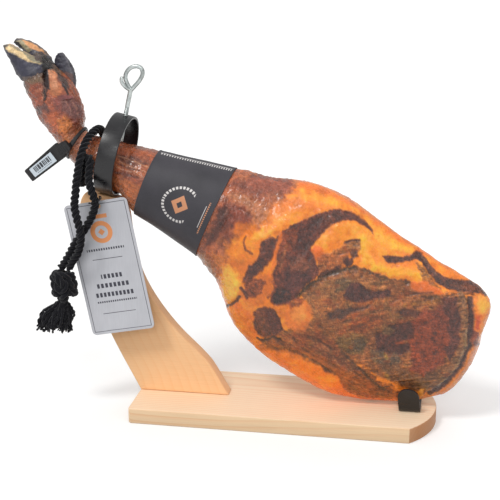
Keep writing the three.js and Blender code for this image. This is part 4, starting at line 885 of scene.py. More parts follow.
    ("skin", (92, 54, 44), 0.85, 1.2, 1.2, -0.4, 0, [(-211.0, 342.3), (-193.2, 340.4), (-173.0, 336.1), (-168.0, 331.2), (-185.9, 328.1), (-206.2, 332.4)]),
    # Painted highlights: three pale streaks along the folds of the shank between the ring and the paper band.
    ("skin", (206, 180, 166), 0.7, 0.6, 0.8, 0.5, 0.7, [(-207.3, 339.9), (-195.9, 336.5), (-183.2, 331.9), (-170.6, 327.4)]),
    ("skin", (188, 156, 142), 0.65, 0.6, 0.8, 0.5, 0.64, [(-208.7, 333.5), (-198.6, 328.9), (-186.0, 325.5), (-173.3, 321.0)]),
    ("skin", (200, 172, 158), 0.6, 0.6, 0.8, 0.5, 0.64, [(-210.3, 325.9), (-198.9, 321.3), (-186.1, 319.2), (-176.0, 314.5)]),
    # Painted shade: two dark lines in the creases between the painted highlight streaks.
    ("skin", (84, 48, 42), 0.7, 0.8, 1, -0.4, 1.14, [(-210.1, 329.7), (-196.2, 325.2), (-181.0, 321.9)]),
    ("skin", (84, 48, 42), 0.7, 0.8, 1, -0.4, 1.14, [(-211.8, 319.5), (-199.0, 316.2), (-181.2, 313.1)]),
    ("skin", (196, 120, 72), 0.7, 2, 2, 0.2, 0, [(-212.1, 309.3), (-196.7, 307.4), (-186.7, 300.2), (-181.9, 285.0), (-194.8, 284.5), (-209.9, 296.7)]),
    ("skin", (150, 84, 62), 0.6, 1.5, 2, 0, 0, [(-234.0, 346.5), (-223.6, 349.4), (-219.0, 334.4), (-224.8, 313.9), (-234.8, 323.7)]),
    ("skin", (165, 96, 74), 0.9, 3, 2, 0, 0, [(-321.7, 428.6), (-299.9, 426.6), (-279.6, 422.2), (-264.5, 417.7), (-254.9, 403.2), (-251.7, 385.9), (-256.2, 370.8), (-266.6, 368.0), (-282.3, 362.5), (-295.2, 364.6), (-304.6, 384.4), (-316.7, 401.5)]),
    ("skin", (206, 126, 84), 0.8, 2, 2, 0.3, 0, [(-293.2, 434.2), (-284.1, 436.8), (-277.1, 422.3), (-280.2, 409.9), (-290.5, 409.6), (-295.2, 419.4)]),
    ("skin", (96, 72, 78), 0.9, 1.5, 1.5, -0.4, 0, [(-311.6, 399.1), (-298.6, 402.0), (-293.9, 392.2), (-302.0, 384.4), (-309.6, 389.2)]),
    ("skin", (196, 112, 74), 0.7, 2, 2, 0, 0, [(-304.2, 391.9), (-283.6, 392.5), (-279.1, 377.6), (-290.0, 364.8), (-299.9, 374.5)]),
    ("skin", (192, 124, 70), 0.85, 2, 2, 0.3, 0, [(-286.6, 382.4), (-273.5, 387.8), (-266.2, 378.0), (-269.3, 365.4), (-282.2, 365.0)]),
    ("skin", (138, 82, 84), 0.8, 2.5, 2, 0.2, 0, [(-290.5, 409.6), (-269.7, 415.1), (-254.7, 408.1), (-251.6, 388.4), (-263.5, 380.6), (-275.9, 390.2), (-286.0, 394.9)]),
    # Painted shade: two dark strokes in the creases between the claw and the dewclaws.
    ("skin", (40, 32, 34), 1, 1, 0.8, -3, 2.29, [(-297.3, 453.6), (-295.4, 441.5), (-296.0, 429.2), (-293.7, 421.9)]),
    ("skin", (40, 32, 34), 0.95, 1, 0.8, -2.2, 1.52, [(-275.6, 427.3), (-272.0, 420.0), (-269.7, 415.1)]),
    ("skin", (120, 108, 92), 0.8, 1.5, 1.2, 0.4, 2.54, [(-322.9, 431.0), (-315.3, 428.7), (-304.8, 432.7)]),
    ("skin", (170, 108, 78), 0.8, 2, 2, 0, 0, [(-266.5, 370.5), (-250.7, 378.5), (-246.9, 346.1), (-252.9, 323.1), (-262.9, 332.8), (-269.6, 357.9)]),
    ("skin", (226, 168, 120), 0.6, 1.5, 1.5, 0, 1.91, [(-300.2, 369.5), (-290.4, 357.2), (-280.5, 344.9)]),
]

# The hoof's own shapes, for the claws as well as for the skin between them.
HOOF = [
    ("skin", (200, 128, 92), 0.75, 1.5, 1.5, 0.2, 0, [(-291.9, 434.2), (-284.1, 435.6), (-280.8, 424.7), (-282.6, 412.3), (-289.1, 412.1), (-293.7, 421.9)]),
    ("skin", (222, 156, 118), 0.7, 1, 1, 0.2, 0, [(-292.1, 429.3), (-283.0, 432.0), (-282.2, 422.2), (-288.7, 419.5)]),
    ("skin", (150, 82, 62), 0.7, 2, 2, 0, 0, [(-318.0, 426.2), (-302.4, 429.0), (-300.7, 411.8), (-306.3, 401.8), (-316.3, 408.9)]),
    # Painted shade: a dark strip down the cleft beside the near claw's root.
    ("skin", (44, 28, 28), 0.95, 1.2, 1, -2, 0, [(-301.4, 448.7), (-295.1, 446.4), (-294.8, 426.8), (-296.9, 409.5), (-301.2, 401.9), (-303.3, 411.8), (-301.1, 429.1)]),
    # Painted highlights: two small glints inside the dark cleft.
    ("skin", (196, 150, 132), 0.8, 0.6, 0.8, 0.3, 0.64, [(-304.3, 416.7), (-302.0, 411.8), (-303.6, 405.6)]),
    ("skin", (186, 140, 124), 0.7, 0.6, 0.8, 0.3, 0.64, [(-298.9, 421.8), (-297.9, 415.6)]),
    # Painted shade: the near-black gap between the near claw's root and the flesh.
    ("skin", (20, 15, 18), 1, 0.8, 0.6, -2, 0, [(-300.9, 459.6), (-293.1, 461.0), (-288.3, 456.3), (-286.2, 446.6), (-292.6, 445.2), (-295.3, 442.7), (-297.1, 431.6), (-301.0, 431.5), (-301.5, 446.2)]),
    # Painted highlight on the flesh stub beside the near dewclaw.
    ("skin", (216, 146, 106), 0.9, 0.8, 0.8, 0.3, 0, [(-294.0, 443.9), (-285.1, 442.9), (-281.5, 436.9), (-286.8, 433.1), (-293.1, 435.4)]),
    ("skin", (70, 58, 60), 0.9, 1, 1.2, 0, 0, [(-281.3, 441.8), (-275.1, 438.3), (-268.9, 432.3), (-268.0, 423.8), (-272.0, 421.2), (-276.8, 428.4), (-282.8, 435.7)]),
    ("skin", (120, 90, 98), 0.7, 1.5, 1.5, 0, 0, [(-280.3, 407.4), (-264.8, 410.3), (-255.0, 400.7), (-253.0, 385.9), (-265.8, 385.5), (-278.3, 395.1)]),
    ("skin", (210, 168, 160), 0.6, 0.6, 0.8, 0.2, 0.64, [(-272.7, 405.2), (-267.9, 397.9), (-265.7, 388.0)]),
    ("skin", (204, 160, 150), 0.6, 0.6, 0.8, 0.2, 0.64, [(-264.9, 407.8), (-260.2, 398.1), (-258.0, 388.2)]),
    ("skin", (204, 130, 66), 0.8, 2, 2, 0.2, 0, [(-284.0, 382.5), (-273.6, 385.3), (-268.7, 378.0), (-270.5, 367.9), (-280.8, 367.6)]),
    ("claw_near", (58, 58, 74), 0.9, 1.2, 1, 0, 0, [(-346.7, 466.0), (-331.7, 459.0), (-316.6, 453.2), (-302.6, 449.9), (-300.5, 441.4), (-303.4, 433.9), (-317.6, 433.6), (-327.9, 434.6), (-337.5, 447.9)]),
    ("claw_near", (96, 96, 104), 0.6, 1.2, 1.2, 0, 0, [(-322.0, 448.2), (-309.2, 447.3), (-307.0, 438.8), (-319.9, 438.5)]),
    ("claw_near", (136, 118, 110), 0.75, 1, 1.2, 0, 0, [(-327.9, 434.6), (-317.5, 436.1), (-302.1, 435.2), (-301.2, 426.6), (-318.1, 425.0), (-325.8, 426.0)]),
    ("claw_near", (150, 142, 116), 0.9, 1, 1.2, 0, 0, [(-349.0, 470.8), (-341.2, 473.4), (-328.6, 468.8), (-316.0, 463.0), (-301.1, 454.8), (-300.0, 451.1), (-309.0, 450.9), (-321.6, 455.5), (-334.1, 461.4), (-345.4, 466.0)]),
    ("claw_near", (236, 204, 152), 0.95, 0.8, 1, 0, 0, [(-347.7, 470.8), (-342.5, 472.8), (-333.7, 468.7), (-326.2, 465.2), (-320.1, 459.2), (-315.3, 453.2), (-326.6, 457.9), (-339.1, 463.7), (-346.7, 467.2)]),
    ("claw_near", (206, 178, 132), 0.8, 0.7, 0.8, 0, 0.89, [(-344.2, 466.0), (-331.6, 460.2), (-319.1, 454.4), (-303.9, 451.0)]),
    ("claw_near", (120, 112, 96), 0.8, 0.7, 0.8, 0, 0.76, [(-349.0, 472.0), (-343.7, 474.6)]),
    ("claw_far", (72, 70, 82), 0.95, 1, 1, 0, 0, [(-321.0, 466.5), (-310.6, 469.1), (-300.6, 465.7), (-292.0, 458.6), (-289.8, 451.4), (-298.6, 453.6), (-308.6, 458.3), (-318.7, 461.7)]),
    ("claw_far", (120, 116, 120), 0.7, 0.8, 1, 0, 0, [(-313.4, 465.4), (-305.7, 464.4), (-303.4, 459.6), (-311.0, 460.6)]),
    # Painted shade: a near-black strip where the far claw meets the near claw, for the gap between them.
    ("claw_far", (22, 18, 22), 1, 0.7, 0.8, 0, 0, [(-335.7, 478.3), (-330.7, 477.2), (-323.4, 470.1), (-319.8, 464.1), (-326.3, 464.0), (-333.6, 471.1), (-337.2, 474.7)]),
    ("claw_far", (160, 150, 118), 0.95, 0.8, 1, 0, 0, [(-335.7, 478.3), (-331.7, 480.8), (-325.4, 479.8), (-318.0, 473.8), (-311.9, 467.9), (-318.5, 465.3), (-325.8, 472.5), (-330.7, 477.2)]),
    ("claw_far", (226, 164, 112), 0.95, 1, 1.2, 0, 0, [(-325.4, 479.8), (-315.3, 477.5), (-305.3, 472.9), (-297.9, 467.0), (-303.1, 466.9), (-313.2, 469.1), (-320.6, 473.8)]),
    ("claw_far", (240, 170, 116), 0.8, 0.8, 1, 0, 0, [(-318.0, 475.1), (-309.1, 472.8), (-308.0, 469.2), (-315.7, 470.3)]),
    ("claw_far", (84, 82, 90), 0.9, 0.8, 0.8, 0, 1.02, [(-334.4, 479.6), (-322.7, 481.6), (-310.2, 476.4), (-297.9, 468.2), (-289.5, 456.2)]),
    ("dewclaw_far", (56, 56, 68), 0.8, 1.2, 1, 0, 0, [(-285.6, 458.7), (-277.6, 467.4), (-270.3, 459.1), (-271.0, 444.5), (-278.7, 441.9), (-284.8, 449.0)]),
    ("dewclaw_far", (112, 110, 116), 0.75, 0.8, 1, 0, 1.02, [(-275.1, 465.0), (-269.2, 456.7), (-265.8, 447.0), (-264.8, 439.7)]),
    ("dewclaw_far", (110, 84, 80), 0.8, 1.2, 1.2, 0, 0, [(-281.4, 439.4), (-271.1, 442.0), (-262.3, 439.8), (-261.5, 427.6), (-269.4, 422.5), (-276.7, 429.7)]),
]
FOOT_ROWS = PAINT[-11:]
PAINT = PAINT + HOOF[:13]

nv = len(P)
rgb = np.zeros((nv, 3))
hgt = np.zeros(nv)
tex = {k: np.zeros(nv) for k in ("skin", "fat", "mus", "cut")}


def carry(pts, nrm, base, rows, seed=7):
    """Paint flat shapes on the plane Y = -35 onto other pieces the same way."""
    k = (-35 - EYE[1]) / (pts[:, 1] - EYE[1])
    cx_, cz_ = EYE[0] + (pts[:, 0] - EYE[0]) * k, EYE[2] + (pts[:, 2] - EYE[2]) * k
    q = np.stack([cx_, cz_, 0 * cx_], 1)
    wx, wz, fr_ = fbm(q, 5, 3, seed), fbm(q + 300, 5, 3, seed + 1), fbm(q, 2.4, 3, seed + 2)
    front = smooth(-0.35, 0.05, (unit(EYE - pts) * nrm).sum(1))
    out = np.array(base, float)
    for kind, colour, op, soft, warp, height, width, shape in rows:
        d = seg_dist(cx_ + warp * 0.6 * wx, cz_ + warp * 0.6 * wz, shape, width == 0) - width
        b_ = soft * 0.7 + 0.3
        mk = (smooth(b_, -b_, d + fr_ * b_ * 0.6) * op * front)[:, None]
        out = out * (1 - mk) + np.array(colour, float) * mk
    return out


def lay(mask, colour, kind=None, height=0.0):
    global rgb
    m = mask[:, None]
    rgb = rgb * (1 - m) + np.asarray(colour, float) * m
    if kind:
        for k in tex:
            tex[k] = tex[k] * (1 - mask) + (mask if k == kind else 0)
    if height:
        hgt[:] += mask * height


# --- ground colours along the shoulder, the same all round
n_big = fbm(P, 46, 3, 31)
n_mid = fbm(P, 15, 3, 32)
n_len = fbm(np.stack([S / 5.5, H, P[:, 1]], 1), 9, 4, 33)
n_ring = fbm(np.stack([S, H / 5, P[:, 1] / 5], 1), 5, 4, 34)
rgb[:] = (226, 136, 52)
tex["fat"][:] = 1
lay(smooth(0.0, 0.7, n_mid) * 0.45, (246, 166, 66))
lay(smooth(0.1, 0.8, -n_mid) * 0.4, (208, 112, 48))
# Skin and rind on the far side, ragged where it was trimmed back.
far = 1 - near_w
edge = 27.0 + 2.6 * n_big + 1.2 * n_mid + 3.0 * np.cos(Af)
rind = smooth(0.9, -0.9, Uf - edge) * far
lay(rind, (164, 92, 50), "skin")
lay(rind * smooth(-0.1, 0.7, n_big) * 0.7, (196, 122, 62))
lay(rind * smooth(0.1, 0.8, -n_mid) * 0.6, (122, 66, 46))
lay(far * (1 - rind) * smooth(0.15, 0.8, n_len) * 0.5, (204, 120, 54))
lay(far * (1 - rind) * smooth(0.35, 0.9, fbm(P, 22, 3, 44)) * 0.8, (150, 88, 54), "cut")
lay(far * smooth(1.4, 0.2, np.abs(Uf - edge)) * 0.65, (132, 76, 44))
# The shank: brown skin, darker and redder in streaks along its length.
shank = smooth(21.5, 18.5, Uf)
lay(shank, (160, 96, 64), "skin")
lay(shank * smooth(-0.2, 0.6, n_len) * 0.75, (126, 72, 58))
lay(shank * smooth(0.1, 0.7, -n_len) * 0.6, (204, 132, 88))
low = smooth(0.1, -0.7, np.cos(Af)) * shank
lay(low * 0.7, (198, 126, 76))
lay(low * smooth(0.1, 0.7, n_mid) * 0.5, (150, 96, 70))
top_edge = smooth(0.6, 0.98, np.cos(Af)) * shank
lay(top_edge * 0.6, (150, 84, 52))
# The ankle and the foot.
ankle = smooth(12.2, 10.6, Uf)
lay(ankle, (172, 116, 84), "skin")
lay(ankle * smooth(0.0, 0.6, n_len) * 0.5, (206, 146, 108))
foot = smooth(9.6, 8.2, Uf + 0.5 * n_mid)
lay(foot, (164, 96, 70), "skin")
lay(foot * smooth(0.0, 0.6, n_mid) * 0.65, (198, 118, 72))
lay(foot * smooth(0.1, 0.7, -n_mid) * 0.6, (122, 74, 72))
lay(foot * smooth(0.3, 0.8, fbm(P, 7, 3, 47)) * 0.55, (205, 140, 104))
band = smooth(4.1, 3.2, Uf + 0.4 * n_mid)
lay(band * 0.9, (112, 98, 88), "skin")
lay(smooth(2.9, 1.9, Uf) * 0.95, (74, 68, 72), "skin")

# --- the carved side
sel_near = near_w > 0.001
for kind, colour, op, soft, warp, height, width, pts in PAINT:
    xs = [p[0] for p in pts]
    zs = [p[1] for p in pts]
    pad = 8 + width + soft + warp * 1.5
    idx = np.nonzero(
        sel_near
        & (CX > min(xs) - pad) & (CX < max(xs) + pad)
        & (CZ > min(zs) - pad) & (CZ < max(zs) + pad)
    )[0]
    if not len(idx):
        continue
    big, fin = WARP[9.0], WARP[3.5]
    kb, kf = (1.15, 0.22) if warp >= 2 else (0.95, 0.35)
    wx = CX[idx] + warp * (kb * big[0][idx] + kf * fin[0][idx])
    wz = CZ[idx] + warp * (kb * big[1][idx] + kf * fin[1][idx])
    d = seg_dist(wx, wz, pts, width == 0)
    if width:
        d = d - width
    blur = {"skin": 1.9, "fat": 1.7, "cut": 1.25, "mus": 0.9}[kind] * soft * 0.75 + 0.35
    # The edge frays into fine strands instead of ending on a line.
    d = d + FRAY[idx] * blur * 0.5
    m = smooth(blur, -blur, d) * op * near_w[idx]
    full = np.zeros(nv)
    full[idx] = m
    lay(full, colour, kind if op > 0.5 else None, height)

# --- mottling that depends on what the surface is made of
C_st = np.stack([CX, CZ, P[:, 1]], 1)


def streak(angle_deg, along, across, octaves, seed):
    a_ = math.radians(angle_deg)
    s_ = CX * math.cos(a_) + CZ * math.sin(a_)
    t_ = -CX * math.sin(a_) + CZ * math.cos(a_)
    return fbm(np.stack([s_ / along, t_ / across, P[:, 1] / across], 1), 1.0, octaves, seed)


st_down = streak(-33, 16, 2.6, 4, 51)
st_up = streak(14, 18, 2.4, 4, 52)
st_mus = streak(48, 9, 3.0, 4, 53)
w_up = smooth(-30, 30, CX + 0.9 * (CZ - 120) - 60)
st_cut = st_down * (1 - w_up) + st_up * w_up
g1 = fbm(P, 2.6, 3, 61)
g2 = fbm(P, 6.5, 3, 62)
g3 = fbm(P, 1.5, 2, 63)
gain = np.ones(nv)
gain += tex["fat"] * (0.075 * n_mid + 0.065 * g2 + 0.05 * g1)
gain += tex["mus"] * (0.20 * g2 + 0.20 * g1 + 0.16 * g3)
gain += tex["cut"] * (0.27 * st_cut + 0.16 * g2 + 0.17 * g1 + 0.10 * g3)
gain += tex["skin"] * (0.12 * n_len + 0.11 * g2 + 0.10 * g1 + 0.05 * g3)
rgb = rgb * np.clip(gain, 0.45, 1.5)[:, None]


def tint(mask, colour):
    global rgb
    m = np.clip(mask, 0, 1)[:, None]
    rgb = rgb * (1 - m) + np.asarray(colour, float) * m


tint(tex["mus"] * smooth(0.5, 0.95, g1 + 0.4 * g2) * 0.5, (160, 104, 82))
tint(tex["mus"] * smooth(0.4, 0.9, -g2) * 0.55, (66, 44, 48))
tint(tex["mus"] * smooth(0.35, 0.9, st_mus) * 0.4, (150, 88, 62))
tint(tex["cut"] * smooth(0.35, 0.85, st_cut) * 0.5, (208, 140, 86))
tint(tex["cut"] * smooth(0.35, 0.85, -st_cut) * 0.55, (98, 68, 50))
tint(tex["cut"] * smooth(0.35, 0.8, fbm(C_st, 9, 3, 71)) * 0.4, (138, 112, 66))
tint(tex["cut"] * smooth(0.3, 0.8, fbm(C_st, 11, 3, 72)) * 0.45, (186, 92, 48))
tint(tex["cut"] * smooth(0.55, 0.95, g3) * 0.5, (216, 178, 136))
tint(tex["fat"] * smooth(0.35, 0.9, fbm(P, 12, 3, 73)) * 0.35, (255, 190, 84))
tint(tex["fat"] * smooth(0.45, 0.95, fbm(P, 10, 3, 74)) * 0.35, (214, 112, 46))
tint(tex["fat"] * smooth(0.6, 1.0, g1) * 0.25, (176, 104, 60))
tint(tex["skin"] * smooth(0.45, 0.95, n_ring) * 0.3, (216, 160, 132))
tint(tex["skin"] * smooth(0.45, 0.95, -n_ring) * 0.35, (96, 52, 46))
# Each kind of surface has its own depth of colour.
DEPTH = {"fat": (1.26, 1.01, 0.56), "skin": (1.10, 0.86, 0.66), "mus": (0.84, 0.60, 0.48), "cut": (0.84, 0.68, 0.50)}
paint_lin = lin(np.clip(rgb, 0, 255))
paint_lin = paint_lin * sum(tex[k][:, None] * np.array(v_) for k, v_ in DEPTH.items())

# --- relief
free = 1 - smooth(16.7, 17.0, Uf) * smooth(20.3, 20.0, Uf)  # flat under the paper band
free *= 1 - smooth(9.7, 9.95, Uf) * smooth(10.8, 10.55, Uf)  # and under the seal's strap
wrinkle = fbm(np.stack([S, H / 3.2, P[:, 1] / 3.2], 1), 3.4, 3, 81)
disp = hgt * 0.8
disp += tex["fat"] * (0.9 * fbm(P, 26, 2, 82) + 0.28 * g2)
disp += tex["mus"] * (0.42 * g2 + 0.34 * g1 + 0.15 * g3)
disp += tex["cut"] * (0.50 * st_cut + 0.3 * g2 + 0.22 * g1)
disp += tex["skin"] * (0.5 * wrinkle + 0.35 * n_len + 0.25 * g2 + 0.14 * g1)
neck_w = smooth(20.1, 21, Uf) * smooth(25, 21.5, Uf) * tex["skin"]
disp += neck_w * 0.8 * wrinkle
foot_zone = smooth(9.4, 8.6, Uf)
disp += foot_zone * (0.7 * fbm(P, 7, 3, 83) + 0.35 * g1)
disp = np.clip(disp, -3.5, 2.6) * free
# Keep clear of the steel: the cradle under the butt, the screw and the ring.
near_steel = smooth(34, 20, P[:, 2]) + smooth(14.0, 13.4, Uf) * smooth(11.8, 12.4, Uf)
disp = np.where(disp > 0, disp * (1 - np.clip(near_steel, 0, 1)), disp)
# The cleft that parts the two toes, on the foot's top and sole: a groove pressed into the surface, with painted shade
# that darkens its colour almost to black.
toe_cleft_groove_and_shade = smooth(5.2, 1.2, Uf) * np.exp(-((P[:, 1] / 3.6) ** 2))
P2 = P + N * (disp - 4.5 * toe_cleft_groove_and_shade)[:, None]
# Painted shade in the toe cleft.
paint_lin = paint_lin * (1 - 0.93 * toe_cleft_groove_and_shade)[:, None]

ham = make("ham_skin_and_meat", P2, loft_faces(HAM_N, HAM_M))
attribute(ham, "paint", np.clip(paint_lin, 0, 1), "FLOAT_COLOR")
wet = fbm(P, 18, 3, 84)
rough = (
    0.26 * tex["fat"] + 0.27 * tex["mus"] + 0.31 * tex["cut"] + 0.25 * tex["skin"]
    + 0.07 * wet + 0.04 * g1
)
attribute(ham, "rough", np.clip(rough, 0.2, 0.75))
attribute(ham, "w_mus", tex["mus"])
attribute(ham, "w_cut", tex["cut"])
attribute(ham, "w_skin", tex["skin"])
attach(ham, "stand")
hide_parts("ham")

M = Mat("cured_meat", Ior=1.45, Specular=0.5, Coat=0.5)
M.set("Coat Roughness", 0.16)
M.set("Subsurface", 0.10)
M.bsdf.inputs["Subsurface Radius"].default_value = (0.9, 0.35, 0.12)
M.bsdf.inputs["Subsurface Scale"].default_value = 0.004
paint = M.attr("paint", "Color")
w_mus, w_cut, w_skin = M.attr("w_mus"), M.attr("w_cut"), M.attr("w_skin")
fib_src = M.mapping(scale=(260, 900, 900), rot=(0, math.radians(-33), 0))
fibre = M.noise(1.0, 5, 0.6, src=fib_src, distortion=0.6)
fine = M.noise(1500, 4, 0.6)
pores = M.voronoi(620, out="Distance")
speck = M.rng(M.noise(1100, 2, 0.5), 0.58, 0.72)
c1 = M.mix(
    M.math("MULTIPLY", M.math("ADD", w_cut, w_mus, clamp=True), 0.55),
    paint,
    M.mix(1.0, paint, M.ramp(fibre, [(0.25, (0.62, 0.58, 0.56)), (0.5, (1, 1, 1)), (0.8, (1.45, 1.4, 1.35))]), "MULTIPLY"),
)
c2 = M.mix(
    M.math("ADD", 0.16, M.math("MULTIPLY", M.math("ADD", w_cut, w_mus, clamp=True), 0.6)), c1, M.mix(1.0, c1, M.ramp(fine, [(0.3, (0.66, 0.60, 0.56)), (0.52, (1, 1, 1)), (0.78, (1.36, 1.36, 1.32))]), "MULTIPLY")
)
# Small cloudy patches, darker and redder or paler, a few millimetres across.
cloud = M.noise(230, 5, 0.62, distortion=0.5)
c2 = M.mix(M.math("ADD", 0.3, M.math("MULTIPLY", M.math("ADD", M.math("ADD", w_cut, w_mus), w_skin, clamp=True), 0.6)), c2, M.mix(1.0, c2, M.ramp(cloud, [(0.28, (0.62, 0.50, 0.44)), (0.5, (1, 1, 1)), (0.76, (1.3, 1.34, 1.36))]), "MULTIPLY"))
c3 = M.mix(M.math("MULTIPLY", M.math("MULTIPLY", speck, w_mus), 0.16), c2, tuple(lin((190, 140, 122))))
thread = M.noise(1.0, 4, 0.62, src=M.mapping(scale=(90, 300, 620), rot=(0, math.radians(-30), 0)), distortion=1.2)
c3 = M.mix(M.math("MULTIPLY", M.math("ADD", w_cut, M.math("MULTIPLY", w_mus, 0.8)), 0.8, clamp=True), c3, M.mix(1.0, c3, M.ramp(thread, [(0.30, (0.42, 0.38, 0.40)), (0.46, (0.9, 0.88, 0.86)), (0.58, (1.1, 1.08, 1.04)), (0.74, (1.9, 1.75, 1.6))]), "MULTIPLY"))
M.set("Colour", c3)
M.set(
    "Roughness",
    M.math("ADD", M.attr("rough"), M.rng(M.noise(420, 3), 0.3, 0.7, -0.06, 0.08), clamp=True),
)
hmap = M.math("ADD", M.math("MULTIPLY", fibre, M.math("ADD", M.math("MULTIPLY", w_cut, 0.9), M.math("MULTIPLY", w_mus, 0.6))), M.math("MULTIPLY", fine, 0.35))
hmap = M.math("ADD", hmap, M.math("MULTIPLY", M.math("MULTIPLY", pores, w_skin), 0.7))
lumps = M.noise(150, 4, 0.55, distortion=0.4)
hmap = M.math("ADD", hmap, M.math("MULTIPLY", lumps, 1.5))
hmap = M.math("ADD", hmap, M.math("MULTIPLY", M.math("MULTIPLY", cloud, M.math("ADD", 0.25, M.math("ADD", M.math("ADD", w_cut, w_mus), w_skin, clamp=True))), 0.9))
hmap = M.math("ADD", hmap, M.math("MULTIPLY", M.math("MULTIPLY", thread, M.math("ADD", w_cut, w_mus, clamp=True)), 1.2))
M.set("Normal", M.bump(hmap, 0.75, 0.0011))
M.on(ham)

# ------------------------------------------------------------ claws of horn
horn_objs = []
for name, table in CLAWS.items():
    n, m = 90, 72
    k = section(np.array(table, float), np.linspace(0, len(table) - 1, n))
    lx, lz, hx, hz, depth, cy = (c[:, None] for c in k.T)
    a = 2 * np.pi * np.arange(m)[None] / m
    c, s = np.cos(a), np.sin(a)
    kk = np.sign(c) * np.abs(c) ** 0.85
    g = np.stack(
        [
            (lx + hx) / 2 + (hx - lx) / 2 * kk,
            cy - depth * np.sign(s) * np.abs(s) ** 0.9,
            (lz + hz) / 2 + (hz - lz) / 2 * kk,
        ],
        -1,
    )
    nn = grid_normals(g).reshape(-1, 3)
    flat = g.reshape(-1, 3)
    uu = np.repeat(np.linspace(0, 1, n)[:, None], m, 1).ravel()
    cc = np.repeat(c, n, 0).ravel()
    yy = np.repeat(s, n, 0).ravel()
    ridge = 0.32 if name.startswith("claw") else 0.14
    grow = ridge * np.sin(uu * 44 + 1.2 * vnoise(flat / 9, 5)) + 0.35 * vnoise(flat / 5, 6)
    flat = flat + nn * (grow * smooth(0, 0.15, uu) * smooth(1.0, 0.85, uu))[:, None] * 0.8
    flat += nn * (0.35 * vnoise(flat / 2.2, 8))[:, None]
    ob = make(name, flat, loft_faces(n, m))
    col = np.tile(np.array((64.0, 62, 72)), (len(flat), 1))

    def mixc(col, mask, c_):
        mk = np.clip(mask, 0, 1)[:, None]
        return col * (1 - mk) + np.array(c_, float) * mk

    fl = fbm(flat, 5, 3, 15)
    grain_ = fbm(np.stack([uu * 9, cc * 9, yy * 9], 1), 0.8, 4, 16)
    col = mixc(col, smooth(0, 0.8, fl) * 0.5, (104, 102, 108))
    col = mixc(col, smooth(0.1, 0.9, -fl) * 0.5, (46, 42, 48))
    col = mixc(col, smooth(0.2, 0.8, grain_) * 0.35, (122, 112, 104))
    if name in ("claw_near", "claw_far"):
        # The sole faces up and back: worn, pale horn with a darker bulb.
        sole = smooth(0.15, 0.6, cc + 0.15 * fl) * smooth(0.35, 0.5, uu)
        col = mixc(col, sole, (196, 164, 128))
        col = mixc(col, sole * smooth(0.0, 0.7, grain_) * 0.7, (150, 118, 84))
        col = mixc(col, sole * smooth(0.2, 0.8, -fl) * 0.6, (228, 198, 160))
        if name == "claw_far":
            col = mixc(col, smooth(0.3, 0.8, cc) * smooth(0.2, 0.5, uu) * smooth(0.95, 0.6, uu) * 0.6, (206, 132, 72))
        col = mixc(col, smooth(0.22, 0.05, uu) * 0.8, (126, 112, 98))
        col = mixc(col, smooth(0.93, 1.0, uu) * 0.7, (206, 176, 140))
    elif name == "dewclaw_near":
        col = mixc(np.tile(np.array((164.0, 98, 74)), (len(flat), 1)), smooth(0.2, 0.8, fl) * 0.6, (198, 128, 88))
        col = mixc(col, smooth(0.7, 0.95, uu) * 0.6, (206, 138, 98))
        col = mixc(col, smooth(0.3, 0.8, -fl) * 0.6, (112, 70, 66))
    else:
        col = mixc(col, smooth(0.2, 0.0, uu) * 0.8, (120, 84, 74))
        col = mixc(col, smooth(0.5, 0.9, -yy * 0.5 + fl * 0.6) * 0.5, (40, 36, 42))
    if name == "dewclaw_near":
        nn_h = grid_normals(flat.reshape(n, m, 3)).reshape(-1, 3)
        col = carry(flat, nn_h, col, FOOT_ROWS + HOOF)
    else:
        nn_h = grid_normals(flat.reshape(n, m, 3)).reshape(-1, 3)
        col = carry(flat, nn_h, col, [q_ for q_ in HOOF if q_[0] == name or q_[0] == "skin"])
    col = col * (1 + 0.10 * fl + 0.10 * vnoise(flat / 1.6, 18))[:, None]
    attribute(ob, "paint", lin(np.clip(col, 0, 255)), "FLOAT_COLOR")
    horn_objs.append(ob)
    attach(ob, "stand")
    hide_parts("ham")
M = Mat("horn", Ior=1.5, Specular=0.5)
paint = M.attr("paint", "Color")
lines = M.noise(1.0, 5, 0.6, src=M.mapping(scale=(900, 500, 190), rot=(0, math.radians(-30), 0)))
M.set("Colour", M.mix(0.6, paint, M.mix(1.0, paint, M.ramp(lines, [(0.25, (0.6, 0.6, 0.62)), (0.5, (1, 1, 1)), (0.8, (1.5, 1.46, 1.4))]), "MULTIPLY")))
M.set("Roughness", M.rng(M.noise(300, 4), 0.3, 0.7, 0.30, 0.52))
M.set("Normal", M.bump(lines, 0.4, 0.0005))
M.on(*horn_objs)

